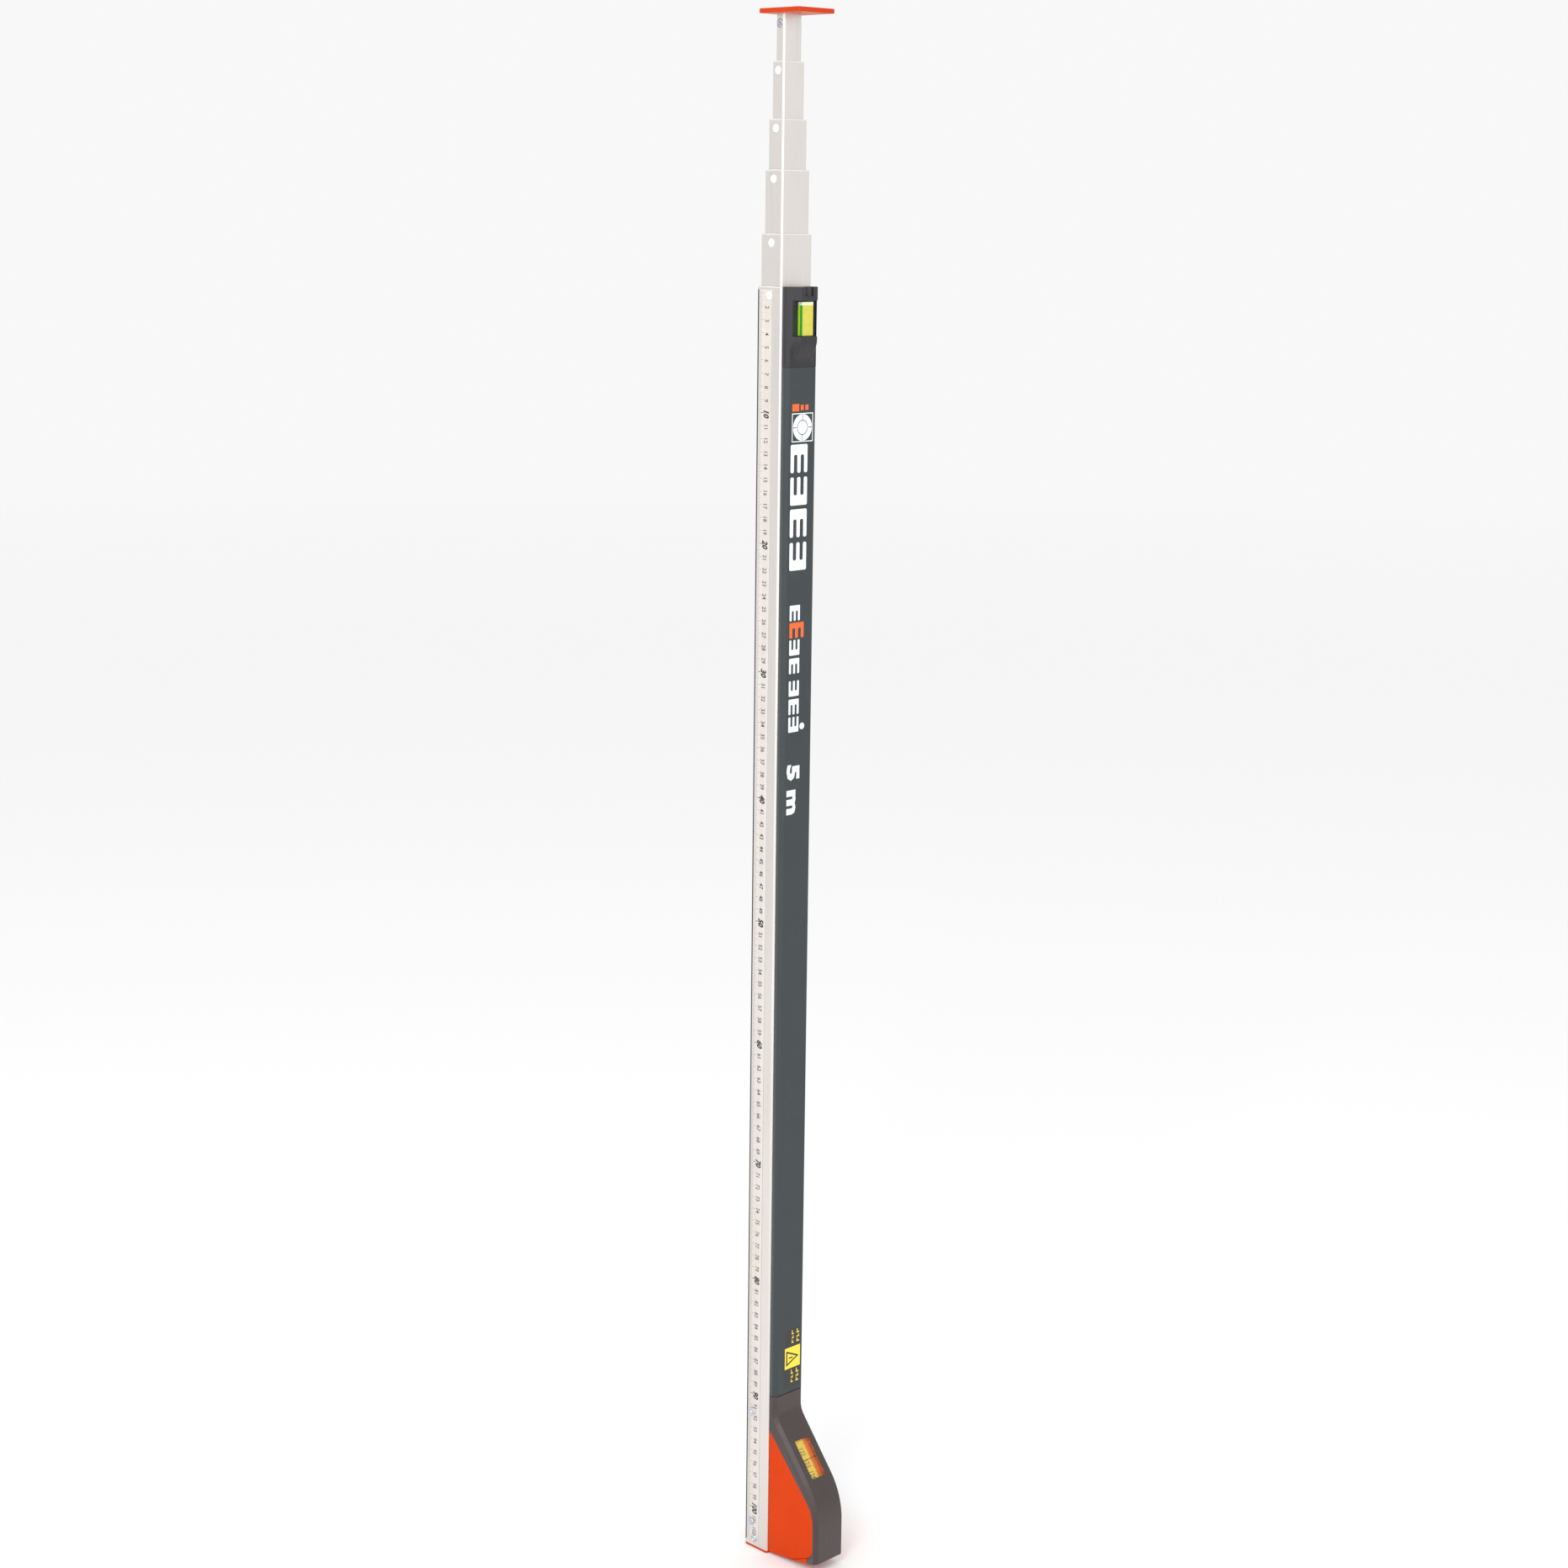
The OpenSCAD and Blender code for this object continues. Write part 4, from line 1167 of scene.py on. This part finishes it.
# %% [markdown]
# ## Floor and light
# A plain pale floor and an even studio. The air itself is bright, so the dull surfaces are lit
# from everywhere. Metal and satin plastic also need something to mirror: a wide panel behind
# the camera whitens the rounded corners, a smaller key lights the casing's chamfer, and one on
# the window side lifts the broad faces. Far off the floor fades into the air.

# %% Floor and lights
clear_selection()
FADE_FROM, FADE_TO, AIR = 1.5, 9, 0.94
bpy.ops.mesh.primitive_circle_add(vertices=96, radius=14, fill_type="NGON",
                                  location=(0, 0, cad_low.z - 0.0002))
floor = settle("floor")
ground = Finish("pale_floor", (0.93, 0.93, 0.93), roughness=0.9, specular_ior_level=0.1)
ground.grain(ground.noise(400), 0.2, 0.1)
reach = ground.add("ShaderNodeVectorMath", Vector=ground.place)
reach.operation = "LENGTH"
ground.feed(ground.shader.inputs["Alpha"], ground.spread(reach.outputs["Value"], 1, 0, FADE_FROM, FADE_TO))
floor.data.materials.append(ground.material)

world = bpy.data.worlds.new("studio")
scene.world = world
world.use_nodes = True
air = world.node_tree.nodes["Background"]
air.inputs["Color"].default_value, air.inputs["Strength"].default_value = (1, 1, 1, 1), AIR


def panel(name, azimuth, distance, height, size, radiance, diffuse, aim_z):
    """A soft panel at an azimuth from the rod, with the same glow all over."""
    light = bpy.data.objects.new(name, bpy.data.lights.new(name, "AREA"))
    scene.collection.objects.link(light)
    light.data.shape = "RECTANGLE"
    light.data.size, light.data.size_y = size
    light.data.energy = radiance * pi * size[0] * size[1]
    light.data.diffuse_factor = diffuse
    angle = radians(azimuth)
    light.location = (distance * sin(angle), -distance * cos(angle), height)
    way = Vector((0, 0, aim_z)) - light.location
    light.rotation_euler = way.to_track_quat("-Z", "Y").to_euler()


panel("wide_soft", azimuth=45, distance=3.2, height=1.78, size=(6.4, 3.3), radiance=0.85,
      diffuse=0.04, aim_z=1.78)
panel("key", azimuth=29, distance=2.6, height=2.45, size=(0.9, 1.1), radiance=9.0,
      diffuse=0.03, aim_z=0.1)
panel("window_side", azimuth=132, distance=3.2, height=1.5, size=(2.6, 2.6), radiance=0.1,
      diffuse=0.5, aim_z=0.9)
